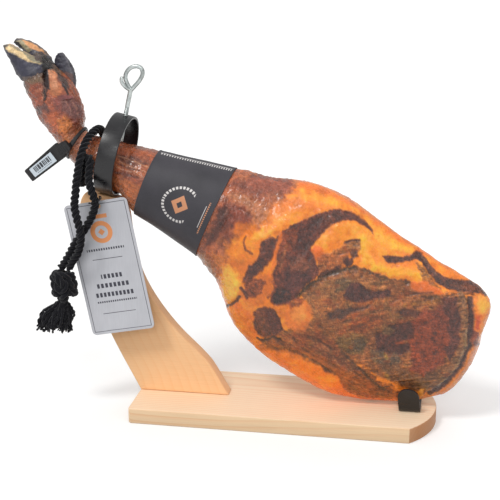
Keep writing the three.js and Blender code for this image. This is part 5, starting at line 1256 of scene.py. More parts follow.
# ============================================================== wooden stand
def wood(name, pith, spacing_mm, rot, light, mid, dark, seed, rough=(0.42, 0.6), figure=1.0, painted_side_shade=False, lateness=1.0):
    """Solid pine: growth rings about a pith axis along local X, after a turn."""
    M = Mat(name, Ior=1.5, Specular=0.35)
    src = M.mapping(rot=rot)
    warp = M.noise(5.0, 2, 0.5, src=M.mapping(scale=(0.35, 1, 1), rot=rot, loc=(seed, 0, 0)), out="Color")
    v = M.node("VectorMath", {0: warp, 1: (0.5, 0.5, 0.5)}, operation="SUBTRACT").outputs[0]
    v = M.node("VectorMath", {0: v, "Scale": 0.016 * figure}, operation="SCALE").outputs[0]
    v = M.node("VectorMath", {0: src, 1: v}, operation="ADD").outputs[0]
    v = M.node("VectorMath", {0: v, 1: pith}, operation="SUBTRACT").outputs[0]
    x = M.node("SeparateXYZ", {0: v})
    r = M.math("SQRT", M.math("ADD", M.math("POWER", M.math("ABSOLUTE", x.outputs[1]), 2.0), M.math("POWER", M.math("ABSOLUTE", x.outputs[2]), 2.0)))
    ringpos = M.math("DIVIDE", r, spacing_mm / 1000)
    wob = M.rng(M.noise(14, 3, src=M.mapping(scale=(0.2, 1, 1), rot=rot)), 0, 1, -0.35, 0.35)
    fr = M.math("FRACT", M.math("ADD", ringpos, wob))
    late = M.math("POWER", fr, 3.2)
    drop = M.rng(fr, 0.93, 1.0, 1.0, 0.0, "SMOOTHSTEP")
    late = M.math("MULTIPLY", late, drop)
    strength = M.rng(M.noise(9, 2, src=M.mapping(scale=(0.2, 1.4, 1.4), rot=rot, loc=(0, seed, 0))), 0.25, 0.75, 0.2 * lateness, 0.95 * lateness)
    late = M.math("MULTIPLY", late, strength)
    col = M.ramp(late, [(0.0, lin(light)), (0.45, lin(mid)), (1.0, lin(dark))])
    fibre = M.noise(1.0, 5, 0.65, src=M.mapping(scale=(16, 900, 900), rot=rot))
    col = M.mix(0.5, col, M.mix(1.0, col, M.ramp(fibre, [(0.25, (0.86, 0.83, 0.8)), (0.5, (1, 1, 1)), (0.8, (1.1, 1.09, 1.08))]), "MULTIPLY"))
    pore = M.noise(1.0, 3, 0.6, src=M.mapping(scale=(30, 1500, 1500), rot=rot))
    col = M.mix(M.rng(pore, 0.62, 0.75, 0, 0.35), col, tuple(lin(dark)))
    blotch = M.noise(11, 3, 0.5)
    col = M.mix(0.22, col, M.mix(1.0, col, M.ramp(blotch, [(0.3, (0.9, 0.86, 0.8)), (0.7, (1.08, 1.08, 1.08))]), "MULTIPLY"))
    if painted_side_shade:
        # Painted shade: faces turned toward +X are darkened strongly, and faces turned toward the front (-Y) a little.
        nx = M.node("SeparateXYZ", {0: M.node("NewGeometry").outputs["Normal"]})
        col = M.mix(M.rng(nx.outputs[0], 0.25, 0.8, 0, 1), col, M.mix(1.0, col, (0.60, 0.36, 0.22), "MULTIPLY"))
        col = M.mix(M.rng(nx.outputs[1], -0.5, -0.95, 0, 1), col, M.mix(1.0, col, (0.93, 0.86, 0.76), "MULTIPLY"))
    M.set("Colour", col)
    M.set("Roughness", M.rng(fibre, 0.3, 0.7, rough[1], rough[0]))
    h = M.math("ADD", M.math("MULTIPLY", late, -0.8), M.math("MULTIPLY", fibre, 0.6))
    M.set("Normal", M.bump(h, 0.28, 0.0004))
    return M


def drill(base, axis, rows, name="cutter"):
    return lathe(base, axis, rows, 32, name)


# Base board.
cx, R, hd = 88.5, 105.0, 74.0
aa = math.asin(hd / R)
outline = []
for t in np.linspace(-aa, aa, 64):
    outline.append((cx + R * math.cos(t), R * math.sin(t)))
for t in np.linspace(0.5 * math.pi, math.pi, 10):
    outline.append((-190 + 5 * math.cos(t), 69 + 5 * math.sin(t)))
for t in np.linspace(math.pi, 1.5 * math.pi, 10):
    outline.append((-190 + 5 * math.cos(t), -69 + 5 * math.sin(t)))
n = len(outline)
v = [(x, y, 0) for x, y in outline] + [(x, y, 20) for x, y in outline]
f = [tuple(reversed(range(n))), tuple(n + i for i in range(n))] + [
    (i, (i + 1) % n, n + (i + 1) % n, n + i) for i in range(n)
]
board = make("base_board_pine", v, f, False)
bevelled(board, 1.3, 3, 60)
cutters = [
    drill((x, 0, -1), (0, 0, 1), [(4.9, 0), (4.9, 2.9), (2.6, 5.2), (2.6, 24)]) for x in (-170, -112)
] + [
    drill((160.5, y, 24.4), (0, 0, -1), [(4.2, 0), (4.2, 1.7), (2.3, 4.0), (2.3, 17.2), (0.05, 20)])
    for y in (-12.5, 12.5)
]
cut(board, *cutters)
face_smooth(board, 30)
# The board's material darkens its +X and front faces as painted shade.
pine = wood(
    "pine_board", (0.0, 0.035, -0.052), 4.4, (0, 0, math.radians(1.2)),
    (250, 224, 193), (246, 210, 174), (232, 183, 139), 3.1, figure=1.6, painted_side_shade=True,
)
pine.on(board)
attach(board, "stand"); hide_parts("base_board")

# Upright arm.
FOOT = 20.35
RING_C = np.array((-221.0, 1.8, 334.2))
tilt, yaw = math.radians(12.8), math.radians(0.5)
ringAxis = unit(np.array((math.cos(tilt) * math.cos(yaw), -math.sin(yaw), -math.sin(tilt) * math.cos(yaw))))
ringN = unit(np.array((0, 0, 1.0)) - ringAxis * ringAxis[2])
ringSide = unit(np.cross(ringN, ringAxis))


def in_ring(side, up, along):
    return RING_C + side * ringSide + up * ringN + along * ringAxis


ringFoot = in_ring(0, -52.35, 0)


def topZ(x):
    return ringFoot[2] - (x - ringFoot[0]) * math.tan(tilt) - 0.6


def bez(p0, p1, p2, p3, n=26):
    t = np.linspace(0, 1, n + 1)[1:, None]
    p0, p1, p2, p3 = (np.array(p, float) for p in (p0, p1, p2, p3))
    return ((1 - t) ** 3 * p0 + 3 * (1 - t) ** 2 * t * p1 + 3 * (1 - t) * t * t * p2 + t**3 * p3).tolist()


o = [(-194.5, FOOT), (-75.5, FOOT)]
o += bez(o[-1], (-84, 34), (-92, 50), (-102, 64), 14)
o += bez(o[-1], (-118, 82), (-131, 92), (-142, 104), 14)
o += bez(o[-1], (-163, 127), (-182, 154), (-192, 180))
o += bez(o[-1], (-200, 201), (-204, 232), (-206.5, 262))
q0, q1, q2 = (np.array(p, float) for p in ((-206.5, 262), (-207, topZ(-212) - 1), (-214, topZ(-214))))
o += [((1 - t) ** 2 * q0 + 2 * (1 - t) * t * q1 + t * t * q2).tolist() for t in np.linspace(0, 1, 15)[1:]]
o += [(-252, topZ(-252))]
o += bez(o[-1], (-262, topZ(-262)), (-269, 276), (-268.5, 266), 14)
o += bez(o[-1], (-267.5, 220), (-257, 150), (-232, 94), 30)
o += bez(o[-1], (-220, 68), (-207, 45), (-194.5, FOOT), 14)[:-1]
arm = extrude_xz(o, -10, 10, "upright_arm_pine")
bevelled(arm, 1.6, 3, 60)
down = -ringN
cutters = [
    drill((x, 0, -1), (0, 0, 1), [(2.6, 0), (2.6, 41.5), (0.05, 45)]) for x in (-170, -112)
] + [
    drill(in_ring(0, -43, al), down, [(2.3, 0), (2.3, 23.6), (0.05, 27.6)]) for al in (-6.5, 6.5)
]
cut(arm, *cutters)
face_smooth(arm, 30)
pine2 = wood(
    "pine_arm", (0.0, 0.075, -0.26), 9.5, (0, math.radians(-65), 0),
    (247, 199, 150), (243, 186, 132), (229, 157, 102), 7.7, figure=3.2, lateness=0.5,
)
pine2.on(arm)
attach(arm, "stand"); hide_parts("upright_arm")

# ================================================================ clamp ring
prof = []
w2, ri, ro, rr = 12.0, 49.0, 52.0, 0.7
for cxp, cyp, a0 in ((w2 - rr, ro - rr, 0), (-w2 + rr, ro - rr, 90), (-w2 + rr, ri + rr, 180), (w2 - rr, ri + rr, 270)):
    for k in np.linspace(0, 90, 5):
        t = math.radians(a0 + k)
        prof.append((cxp + rr * math.cos(t), cyp + rr * math.sin(t)))
rings = []
for t in np.linspace(0, 2 * np.pi, 180, endpoint=False):
    rings.append([in_ring(r * math.sin(t), r * math.cos(t), al) for al, r in prof])
p = Pile()
p.loft(rings, closed=True)
hoop = p.done("clamp_hoop")
cut(hoop, drill(in_ring(0, 42, 1.8), ringN, [(3.5, 0), (3.5, 16)]))
face_smooth(hoop, 50)
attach(hoop, "stand"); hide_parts("clamp_ring")

# ============================================================ cradle bracket
CR_X, CR_W, CR_T, CR_IN, CR_H, CR_F = 160.5, 27.0, 3.0, 22.0, 34.0, 8.0
z0 = FOOT
mid = []  # middle of the strip in Y and Z, with its height up the tab
for z in np.linspace(CR_H, 5.5, 26):
    mid.append((-(CR_IN + CR_F * z / CR_H) - 1.5, z0 + z, z))
b0 = mid[-1]
for t in np.linspace(0.08, 0.92, 10):
    e0, e1, e2 = np.array(b0[:2]), np.array((-CR_IN - 1.2, z0 + 1.5)), np.array((-CR_IN + 3.2, z0 + 1.5))
    q = (1 - t) ** 2 * e0 + 2 * (1 - t) * t * e1 + t * t * e2
    mid.append((q[0], q[1], max(q[1] - z0, 0.0)))
for y in np.linspace(-CR_IN + 3.2, 0, 8):
    mid.append((y, z0 + 1.5, 0.0))
mid = mid + [(-y, z, k) for y, z, k in reversed(mid[:-1])]
mid = np.array(mid)
across = 15
verts = []
for y, z, k in mid:
    qq = max(0.0, (k - 22) / (CR_H - 22 + 0.02))
    half = (CR_W / 2) * math.sqrt(max(0.004, 1 - qq * qq))
    sh = -3 * k / CR_H
    for j in range(across):
        verts.append((CR_X + sh - half + 2 * half * j / (across - 1), y, z))
cradle = make("cradle_strap", verts, loft_faces(len(mid), across, caps=False, wrap=False))
m = cradle.modifiers.new("t", "SOLIDIFY")
m.thickness, m.offset, m.use_even_offset = 0.003, 0, True
apply_mods(cradle)
bevelled(cradle, 0.5, 2, 50)
cut(
    cradle,
    *[
        drill((160.5, y, 24.4), (0, 0, -1), [(4.2, 0), (4.2, 1.7), (2.3, 4.0), (2.3, 12)])
        for y in (-12.5, 12.5)
    ],
)
face_smooth(cradle, 35)
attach(cradle, "stand"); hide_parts("cradle_bracket")

M = Mat("black_painted_steel", Ior=1.5, Specular=0.55, Metallic=0.0)
wear = M.noise(60, 5, 0.6)
scr = M.noise(1.0, 4, 0.7, src=M.mapping(scale=(30, 600, 600), rot=(0.2, 0.3, 0.1)))
c = M.ramp(wear, [(0.3, lin((14, 13, 16))), (0.6, lin((21, 20, 24))), (0.8, lin((34, 32, 36)))])
edge = M.node("NewGeometry").outputs["Pointiness"]
c = M.mix(M.rng(edge, 0.53, 0.60, 0, 0.5), c, tuple(lin((96, 92, 94))))
M.set("Colour", c)
M.set("Roughness", M.math("ADD", M.rng(wear, 0.3, 0.7, 0.22, 0.32), M.rng(scr, 0.4, 0.7, 0.0, 0.12)))
M.set("Normal", M.bump(M.noise(420, 3, 0.6), 0.12, 0.0005))
M.on(hoop, cradle)
black_steel = M

# ================================================================= eye screw
def at(side, up):
    return in_ring(0, 84.2 + up, 1.8 + side)


pile = Pile()
tip, neck = 17.6, 84.2
pts, rad = [], []
L = neck - tip
nst = 330
ss = np.linspace(0, 1, nst)
path = np.array([in_ring(0, tip + L * s_, 1.8) for s_ in ss])
sides = 28
ang = np.linspace(0, 2 * np.pi, sides, endpoint=False)
h = ss * L
thread = smooth(0.6, 2.0, h) * smooth(47, 44, h)
ph = (h[:, None] / 1.25 - ang[None] / (2 * np.pi)) % 1.0
tooth = np.abs(ph - 0.5) * 2
base_r = np.where(h < 1.2, 2.3 + 0.6 * h / 1.2, 2.95)[:, None]
shape = base_r - 0.42 * thread[:, None] * (1 - tooth)
pile.tube(path, 1.0, sides, first=ringSide, shape=shape)
# The wire leaves the shaft, makes the eye and comes back beside the neck.
loop = [
    (0.0, -6), (0.0, -1.5), (1.2, 1.6), (3.9, 6.1), (9.2, 15.8), (11.1, 24.6), (7.5, 30.7), (0.9, 31.2),
    (-6.1, 26.7), (-9.4, 20.1), (-9.3, 13.7), (-5.5, 7), (-1.5, 2.2), (0.6, -1.5),
]
lp = [at(s_, u_) for s_, u_ in loop]
pth = catmull(lp, 150)
rr_ = np.full(150, 2.7)
rr_[:6] = np.linspace(2.9, 2.7, 6)
pile.tube(pth, rr_, 24, first=ringSide)
tail = [at(0.2, 0), at(-6.7, 4) - 4.4 * ringSide, at(-11.9, 9.1) - 5.4 * ringSide, at(-12.8, 15.3) - 5.2 * ringSide]
pth = catmull(tail, 50)
rt = np.full(50, 2.35)
rt[-4:] = (2.3, 2.15, 1.85, 1.2)
pile.tube(pth, rt, 20, first=ringSide)
eye = pile.done("eye_screw_zinc")
face_smooth(eye, 60)
M = Mat("bright_zinc", Metallic=1.0)
zn = M.voronoi(260, out="Color", rand=1.0)
zs = M.noise(90, 5, 0.6)
c = M.ramp(zs, [(0.25, lin((150, 156, 156))), (0.55, lin((196, 203, 202))), (0.8, lin((222, 226, 224)))])
M.set("Colour", M.mix(M.rng(M.noise(35, 3), 0.5, 0.75, 0, 0.4), c, tuple(lin((158, 160, 150)))))
M.set("Roughness", M.rng(M.noise(500, 4, 0.7), 0.3, 0.7, 0.22, 0.42))
M.set("Normal", M.bump(M.noise(700, 3), 0.2, 0.0004))
M.on(eye)
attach(eye, "screw"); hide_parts("clamp_screw")

# Wood screws keep their solids.
M = Mat("screw_steel", Metallic=1.0)
M.set("Colour", M.ramp(M.noise(300, 4), [(0.3, lin((120, 122, 122))), (0.7, lin((176, 178, 178)))]))
M.set("Roughness", M.rng(M.noise(900, 3), 0.3, 0.7, 0.25, 0.5))
M.set("Normal", M.bump(M.noise(1500, 2), 0.2, 0.0003))
for nme in ("arm_screw_1", "arm_screw_2", "ring_screw_1", "ring_screw_2", "cradle_screw_1", "cradle_screw_2"):
    assign_cad(nme, M)


# ================================================================ printed work
class Print:
    """Flat print drawn by node arithmetic on two length coordinates (mm)."""

    def __init__(self, M, x, y):
        self.M, self.x, self.y = M, x, y

    def local(self, cx, cy, deg=0.0):
        M = self.M
        dx, dy = M.math("SUBTRACT", self.x, cx), M.math("SUBTRACT", self.y, cy)
        if deg:
            c, s = math.cos(math.radians(deg)), math.sin(math.radians(deg))
            a = M.math("ADD", M.math("MULTIPLY", dx, c), M.math("MULTIPLY", dy, s))
            b = M.math("SUBTRACT", M.math("MULTIPLY", dy, c), M.math("MULTIPLY", dx, s))
            return a, b
        return dx, dy

    def inside(self, d, soft=0.12):
        return self.M.rng(d, -soft, soft, 1.0, 0.0)

    def rect(self, cx, cy, hw, hh, deg=0.0, r=0.0):
        M = self.M
        a, b = self.local(cx, cy, deg)
        qa = M.math("SUBTRACT", M.math("ABSOLUTE", a), hw)
        qb = M.math("SUBTRACT", M.math("ABSOLUTE", b), hh)
        return M.math("MAXIMUM", qa, qb)

    def lozenge(self, cx, cy, hw, hh, deg=0.0):
        M = self.M
        a, b = self.local(cx, cy, deg)
        s = M.math("ADD", M.math("DIVIDE", M.math("ABSOLUTE", a), hw), M.math("DIVIDE", M.math("ABSOLUTE", b), hh))
        return M.math("MULTIPLY", M.math("SUBTRACT", s, 1.0), min(hw, hh) * 0.7)

    def disc(self, cx, cy, r):
        M = self.M
        a, b = self.local(cx, cy)
        return M.math("SUBTRACT", M.math("SQRT", M.math("ADD", M.math("MULTIPLY", a, a), M.math("MULTIPLY", b, b))), r)

    def shell(self, d, w):
        return self.M.math("SUBTRACT", self.M.math("ABSOLUTE", d), w / 2)

    def both(self, *ds):
        d = ds[0]
        for e in ds[1:]:
            d = self.M.math("MAXIMUM", d, e)
        return d

    def any(self, *ds):
        d = ds[0]
        for e in ds[1:]:
            d = self.M.math("MINIMUM", d, e)
        return d

    def dashes(self, along, period, duty, phase=0.0):
        """Negative inside each dash of a row along the given coordinate."""
        M = self.M
        f = M.math("FRACT", M.math("ADD", M.math("DIVIDE", along, period), phase))
        return M.math("MULTIPLY", M.math("SUBTRACT", M.math("ABSOLUTE", M.math("SUBTRACT", f, 0.5)), duty / 2), period)


# ================================================================ paper band
NB, MB = 120, 300
ub = np.linspace(17.0, 20.0, NB)
curl = 0.35 + 0.9 * smooth(17.10, 17.0, ub) + 0.5 * smooth(19.93, 20.0, ub)
base_out = 0.55
outer = ham_rings(ub, MB, base_out + 0.45)
inner = ham_rings(ub, MB, base_out)
lump = fbm(outer.reshape(-1, 3), 34, 2, 141).reshape(NB, MB)
nrm_b = grid_normals(outer)
lift = (0.55 + 0.5 * lump) * 0.5 + 0.4 * (curl[:, None] - 0.35)
outer = outer + nrm_b * lift[..., None]
inner = inner + nrm_b * lift[..., None]
allr = np.concatenate([outer, inner[::-1]], 0)
sleeve = make("paper_band", allr.reshape(-1, 3), loft_faces(2 * NB, MB, closed=True))
# Print coordinates: along the shank from the band's narrow edge, and around it from its top line.
sb = np.interp(ub, fine_u, slen)
around = np.r_[0, np.cumsum(np.linalg.norm(np.diff(outer[NB // 2], axis=0), axis=1))]
px_ = np.repeat((sb - sb[0])[:, None], MB, 1)
py_ = np.repeat(around[None], NB, 0)
attribute(sleeve, "px", np.concatenate([px_, px_[::-1]], 0).ravel())
attribute(sleeve, "py", np.concatenate([py_, py_[::-1]], 0).ravel())
band_len, band_round = float(sb[-1] - sb[0]), float(around[-1])
half_h = float(np.linalg.norm(outer[NB // 2, 0] - outer[NB // 2, MB // 2]))
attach(sleeve, "stand"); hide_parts("label_sleeve")
M = Mat("charcoal_paper", Ior=1.45, Specular=0.4)
pr = Print(M, M.attr("px"), M.attr("py"))
grain_p = M.noise(700, 4, 0.7)
base_c = M.ramp(M.noise(30, 3), [(0.3, lin((58, 57, 62))), (0.7, lin((68, 66, 72)))])
col = M.mix(0.35, base_c, M.mix(1.0, base_c, M.ramp(grain_p, [(0.3, (0.75, 0.75, 0.75)), (0.7, (1.3, 1.3, 1.3))]), "MULTIPLY"))
MX, MY = band_len * 0.56, around[MB // 4] * 0.97
white = tuple(lin((226, 222, 220)))
copper = tuple(lin((214, 150, 112)))
# A plain copper lozenge with a small one cut out of it, inside an open ring of dashes.
a_, b_ = pr.local(MX, MY)
ang_ = M.math("ARCTAN2", b_, a_)
ring_d = pr.shell(pr.disc(MX, MY, 21.5), 3.4)
dash = pr.dashes(M.math("MULTIPLY", ang_, 21.5), 4.4, 0.62)
gap = M.math("SUBTRACT", a_, 13.0)
d_white = pr.both(ring_d, dash, gap)
# Short bars along the top edge, and two fine rules near the wide edge.
edge_bars = pr.both(
    M.math("SUBTRACT", M.math("ABSOLUTE", M.math("SUBTRACT", pr.y, 8.6)), 2.0),
    pr.dashes(pr.x, 3.1, 0.42),
    M.math("SUBTRACT", M.math("ABSOLUTE", M.math("SUBTRACT", pr.x, band_len * 0.5)), band_len * 0.46),
)
edge_rule = pr.rect(band_len * 0.5, 5.4, band_len * 0.47, 0.45)
rule1 = pr.rect(band_len - 10.5, MY + 2, 0.35, 13)
d_white = pr.any(d_white, edge_bars, edge_rule, rule1)
d_cop = pr.both(pr.lozenge(MX, MY, 11.5, 12.5), M.math("MULTIPLY", pr.lozenge(MX, MY, 4.2, 4.8), -1.0))
d_cop = pr.any(d_cop, pr.both(pr.rect(band_len - 7.6, MY + 3, 0.9, 19), pr.dashes(pr.y, 2.4, 0.6)))
col = M.mix(pr.inside(d_white), col, white)
m_cop = pr.inside(d_cop)
col = M.mix(m_cop, col, copper)
M.set("Colour", col)
M.set("Roughness", M.math("SUBTRACT", M.rng(grain_p, 0.3, 0.7, 0.42, 0.56), M.math("MULTIPLY", m_cop, 0.14)))
M.set("Normal", M.bump(grain_p, 0.12, 0.0003))
M.on(sleeve)

# ================================================================= swing tag
TW, TH, TT = 84.0, 174.0, 1.2
o = []
for cx_, cz_, a0 in ((36, -6, 0), (-36, -6, 90), (-36, -168, 180), (36, -168, 270)):
    for k in np.linspace(0, 90, 9):
        t = math.radians(a0 + k)
        o.append((cx_ + 6 * math.cos(t), cz_ + 6 * math.sin(t)))
bm = bmesh.new()
edges = []
ov = [bm.verts.new((x, 0, z)) for x, z in o]
hv = [bm.verts.new((3.5 + 3 * math.cos(t), 0, -6.5 + 3 * math.sin(t))) for t in np.linspace(0, 2 * np.pi, 28, endpoint=False)]
for ring_ in (ov, hv):
    for i in range(len(ring_)):
        edges.append(bm.edges.new((ring_[i], ring_[(i + 1) % len(ring_)])))
bmesh.ops.triangle_fill(bm, use_beauty=True, edges=edges, use_dissolve=False)
for fc in list(bm.faces):
    c_ = fc.calc_center_median()
    if (c_.x - 3.5) ** 2 + (c_.z + 6.5) ** 2 < 8.0:
        bm.faces.remove(fc)
# Cut the card into strips so that it can bow a little.
for zc in np.arange(-170, -2, 5.0):
    geom = list(bm.verts) + list(bm.edges) + list(bm.faces)
    bmesh.ops.bisect_plane(bm, geom=geom, plane_co=(0, 0, zc), plane_no=(0, 0, 1))
for xc in np.arange(-40, 41, 8.0):
    geom = list(bm.verts) + list(bm.edges) + list(bm.faces)
    bmesh.ops.bisect_plane(bm, geom=geom, plane_co=(xc, 0, 0), plane_no=(1, 0, 0))
me = bpy.data.meshes.new("card_tag")
bm.to_mesh(me)
bm.free()
tag = bpy.data.objects.new("card_tag", me)
scene.collection.objects.link(tag)
local = np.array([v.co[:] for v in me.vertices])
th = math.radians(11)


def tag_place(p):
    x, y, z = p[:, 0], p[:, 1], p[:, 2]
    bow = 0.5 * np.sin(np.pi * np.clip(-z / TH, 0, 1)) - 0.4 * (x / 42) ** 2 * np.clip(-z / TH, 0, 1)
    c_, s_ = math.cos(-th), math.sin(-th)
    return np.stack([x * c_ + z * s_ - 240.5, y + bow - 36, -x * s_ + z * c_ + 281], 1)


placed = tag_place(local) / 1000
for vtx, q in zip(me.vertices, placed):
    vtx.co = q
attribute(tag, "px", local[:, 0])
attribute(tag, "py", -local[:, 2])
m = tag.modifiers.new("t", "SOLIDIFY")
m.thickness, m.offset = 0.0011, 0
apply_mods(tag)
bevelled(tag, 0.18, 1, 50)
face_smooth(tag, 30)
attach(tag, "stand"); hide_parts("swing_tag")
M = Mat("silver_card", Ior=1.45, Specular=0.5)
pr = Print(M, M.attr("px"), M.attr("py"))
brushed = M.noise(1.0, 4, 0.6, src=M.mapping(scale=(900, 900, 60), rot=(0, math.radians(-11), 0)))
grain_t = M.noise(900, 3, 0.6)
base_c = M.ramp(M.noise(14, 3), [(0.3, lin((190, 191, 197))), (0.7, lin((206, 207, 213)))])
col = M.mix(0.3, base_c, M.mix(1.0, base_c, M.ramp(brushed, [(0.3, (0.86, 0.86, 0.87)), (0.7, (1.12, 1.12, 1.12))]), "MULTIPLY"))
ink = tuple(lin((66, 66, 76)))
orange = tuple(lin((232, 152, 98)))
border = pr.shell(pr.rect(0, 87, 38.2, 83.2), 0.7)
rules = pr.any(pr.rect(0, 75, 20, 0.4), pr.rect(0, 147, 22, 0.4))
words = [pr.both(pr.rect(0, 62.3, 25, 1.5), pr.dashes(pr.x, 3.3, 0.62))]
for yy, hw_, hh_, per in ((98, 14, 2.9, 5.3), (110, 22, 2.9, 5.6), (122, 26, 2.9, 5.2), (131.5, 27, 1.2, 2.9)):
    words.append(pr.both(pr.rect(0, yy, hw_, hh_), pr.dashes(pr.x, per, 0.64, 0.15)))
d_ink = pr.any(border, rules, *words)
# A plain round ornament in place of the printed figure.
d_or = pr.any(
    pr.shell(pr.disc(0, 40, 11.5), 6.0),
    pr.rect(0, 19.5, 11.5, 2.6),
    pr.lozenge(0, 40, 4.6, 4.6),
)
col = M.mix(pr.inside(d_ink), col, ink)
col = M.mix(pr.inside(d_or), col, orange)
M.set("Colour", col)
M.set("Roughness", M.rng(grain_t, 0.3, 0.7, 0.34, 0.48))
M.set("Normal", M.bump(M.math("ADD", brushed, grain_t), 0.06, 0.0003))
M.set("Metallic", 0.15)
M.on(tag)

# The cord that ties the card to the rope.
tie_pts = [
    (-244, -44.5, 280.5), (-241.8, -53.5, 282.5), (-235.2, -56.4, 284.5), (-229.6, -51.5, 286.5),
    (-229.8, -43, 288), (-234.2, -35.5, 287.4), (-235.4, -32.7, 280.4), (-235.9, -36, 275.2),
    (-240, -40, 276.6),
]
pile = Pile()
pth = catmull(tie_pts, 150, closed=True)
sh, _ = strand_shape(pth, 14, 2.6, lobes=2, d=1.7, closed=True)
pile.tube(pth, 1.0, 14, True, shape=sh)
tie = pile.done("tag_tie_cord")
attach(tie, "stand"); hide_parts("tag_tie")

M = Mat("black_cotton", Ior=1.4, Specular=0.15, Roughness=0.95)
yarn = M.noise(900, 5, 0.7)
lint = M.noise(2600, 3, 0.6)
c = M.ramp(yarn, [(0.3, lin((12, 12, 15))), (0.55, lin((24, 24, 29))), (0.8, lin((52, 51, 58)))])
c = M.mix(M.rng(lint, 0.66, 0.80, 0, 0.35), c, tuple(lin((96, 95, 102))))
M.set("Colour", c)
M.set("Sheen", 0.2)
M.bsdf.inputs["Sheen Roughness"].default_value = 0.5
M.set("Roughness", M.rng(yarn, 0.3, 0.7, 0.86, 0.98))
M.set("Normal", M.bump(M.math("ADD", yarn, lint), 0.6, 0.0006))
M.on(rope, knot, tassel, tie)

# ================================================================ ankle seal
us_ = np.linspace(10.05, 10.45, 14)
MS = 160
outer = ham_rings(us_, MS, 2.4)
inner = ham_rings(us_, MS, 0.7)
thick = 1 - 0.22 * (np.abs(np.linspace(-1, 1, 14)) ** 6)[:, None, None]
outer = inner + (outer - inner) * thick
strap = make("seal_strap_band", np.concatenate([outer, inner[::-1]], 0).reshape(-1, 3), loft_faces(28, MS, closed=True))
face_smooth(strap, 40)
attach(strap, "stand"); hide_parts("seal_strap")
so = np.array((-326.0, 310.0))
d1 = np.array((44.0, 34.0)); d1 /= np.linalg.norm(d1)
d2 = np.array((-d1[1], d1[0]))


def seal_xz(l, t_):
    q = so + d1 * l + d2 * t_
    return (float(q[0]), float(q[1]))


def rounded(poly, r=1.2, n=4):
    poly = [np.array(p, float) for p in poly]
    out = []
    for i, p in enumerate(poly):
        a, b = poly[i - 1], poly[(i + 1) % len(poly)]
        ua, ub_ = unit(a - p), unit(b - p)
        k = min(r, 0.45 * np.linalg.norm(a - p), 0.45 * np.linalg.norm(b - p))
        for t in np.linspace(0, 1, n + 1):
            out.append(((1 - t) ** 2 * (p + ua * k) + 2 * (1 - t) * t * p + t * t * (p + ub_ * k)).tolist())
    return out


YP = -33.0
plate_poly = [(0, -8.6), (55, -9.6), (58, -8.5), (58, 10.5), (55, 11.5), (0, 8.6), (-1, 7.6), (-1, -7.6)]
lock_poly = [(50, -7.5), (67, -6.5), (68, -5), (68, 6), (66.5, 7.5), (50, 9.5)]
plate = extrude_xz(rounded([seal_xz(*q) for q in plate_poly]), YP - 1.2, YP + 1.2, "seal_plate_moulding")
bevelled(plate, 0.45, 2, 50)
lock = extrude_xz(rounded([seal_xz(*q) for q in lock_poly], 2.0), YP - 4.0, YP + 4.2, "seal_lock_moulding")
bevelled(lock, 0.9, 3, 50)
# A raised frame round the sticker, and ribs on the lock.
pile = Pile()
fr = [(4.6, -7.7), (44.6, -8.3), (44.6, 8.3), (4.6, 7.7)]
frp = []
for i in range(4):
    a, b = np.array(fr[i]), np.array(fr[(i + 1) % 4])
    for t in np.linspace(0, 1, 24, endpoint=False):
        l, t_ = a + (b - a) * t
        x, z = seal_xz(l, t_)
        frp.append((x, YP - 1.25, z))
pile.tube(np.array(frp), 0.45, 10, True, first=(0, 1, 0))
for k in range(5):
    l = 53 + 2.6 * k
    (xa, za), (xb, zb) = seal_xz(l, -4.6), seal_xz(l, 5.6)
    pile.tube(np.linspace((xa, YP - 3.9, za), (xb, YP - 3.9, zb), 10), 0.55, 10, first=(0, 1, 0))
ribs = pile.done("seal_ribs")
for o_, s_ in ((plate, "seal_plate"), (lock, "seal_plate"), (ribs, "seal_plate")):
    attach(o_, "stand"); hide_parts(s_)
M = Mat("moulded_black_plastic", Ior=1.48, Specular=0.5)
gp = M.noise(900, 4, 0.6)
c = M.ramp(M.noise(60, 3), [(0.3, lin((15, 14, 16))), (0.7, lin((26, 25, 27)))])
M.set("Colour", M.mix(M.rng(M.noise(240, 4), 0.62, 0.75, 0, 0.35), c, tuple(lin((84, 80, 80)))))
M.set("Roughness", M.rng(gp, 0.3, 0.7, 0.3, 0.48))
M.set("Normal", M.bump(gp, 0.15, 0.0003))
M.on(plate, lock, ribs, strap)
st = [(6, -6.2), (43, -6.8), (43, 6.8), (6, 6.2)]
sticker = extrude_xz(rounded([seal_xz(*q) for q in st], 0.8), YP - 2.0, YP - 1.5, "seal_sticker_film")
bevelled(sticker, 0.12, 1, 50)
face_smooth(sticker, 30)
co = np.array([v.co[:] for v in sticker.data.vertices]) * 1000
rel = co[:, [0, 2]] - so
attribute(sticker, "px", rel @ d1)
attribute(sticker, "py", rel @ d2)
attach(sticker, "stand"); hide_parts("seal_sticker")
M = Mat("white_label", Ior=1.45, Specular=0.5)
pr = Print(M, M.attr("px"), M.attr("py"))
g_ = M.noise(800, 3)
col = M.ramp(g_, [(0.3, lin((206, 218, 228))), (0.7, lin((226, 236, 244)))])
bars = pr.any(
    pr.both(pr.rect(24.5, 1.2, 13.2, 3.5), pr.dashes(pr.x, 2.1, 0.5)),
    pr.both(pr.rect(24.5, 1.2, 13.2, 3.5), pr.dashes(pr.x, 3.7, 0.38, 0.3)),
)
col = M.mix(pr.inside(bars, 0.08), col, tuple(lin((48, 50, 56))))
small = pr.both(pr.rect(24.5, -4.0, 12, 0.5), pr.dashes(pr.x, 1.6, 0.6))
col = M.mix(pr.inside(small, 0.08), col, tuple(lin((96, 98, 104))))
M.set("Colour", col)
M.set("Roughness", M.rng(g_, 0.3, 0.7, 0.32, 0.44))
M.set("Normal", M.bump(g_, 0.05, 0.0002))
M.on(sticker)

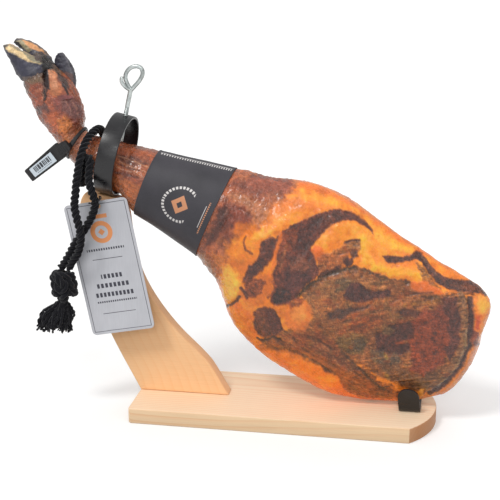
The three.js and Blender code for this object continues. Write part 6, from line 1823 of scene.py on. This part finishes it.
# ============================================================ floor and light
bpy.ops.mesh.primitive_grid_add(x_subdivisions=8, y_subdivisions=8, size=120, location=(0, 0, -0.0003))
floor = bpy.context.object
floor.name = "floor"
M = Mat("floor_white", Roughness=0.9, Specular=0.0)
M.set("Colour", (0.82, 0.82, 0.82))
M.set("Emission Color", (1.0, 1.0, 1.0))
M.set("Emission Strength", 0.22)
M.on(floor)
floor.visible_diffuse = False

world = bpy.data.worlds.new("studio")
scene.world = world
world.use_nodes = True
nt = world.node_tree
bg = nt.nodes["Background"]
bg.inputs[1].default_value = 1.0
# Brighter overhead, a little darker toward the horizon behind the camera, as in a light tent.
tc = nt.nodes.new("ShaderNodeTexCoord")
sx = nt.nodes.new("ShaderNodeSeparateXYZ")
nt.links.new(tc.outputs["Generated"], sx.inputs[0])
rp = nt.nodes.new("ShaderNodeMapRange")
rp.inputs["From Min"].default_value, rp.inputs["From Max"].default_value = -0.1, 0.9
rp.inputs["To Min"].default_value, rp.inputs["To Max"].default_value = 0.38, 0.80
nt.links.new(sx.outputs[2], rp.inputs["Value"])
cb = nt.nodes.new("ShaderNodeCombineColor")
for k in range(3):
    nt.links.new(rp.outputs[0], cb.inputs[k])
nt.links.new(cb.outputs[0], bg.inputs[0])


def sun(name, toward, angle, strength, colour=(1, 1, 1)):
    d = bpy.data.lights.new(name, "SUN")
    d.angle, d.energy, d.color = math.radians(angle), strength, colour
    o_ = bpy.data.objects.new(name, d)
    scene.collection.objects.link(o_)
    o_.rotation_mode = "QUATERNION"
    o_.rotation_quaternion = Vector(toward).to_track_quat("-Z", "Y")
    return o_


sun("key", (0.42, 0.62, -1.0), 14, 1.15, (1.0, 0.99, 0.97))
sun("fill", (-0.75, 0.75, -0.55), 40, 0.28)
sun("front", (0.05, 1.0, -0.28), 24, 0.22)
sun("sparkle", (-0.1, 1.0, -0.62), 7, 0.22)

scene.view_settings.view_transform = "Standard"
scene.view_settings.look = "None"
scene.view_settings.exposure = 0.0
scene.view_settings.gamma = 1.0
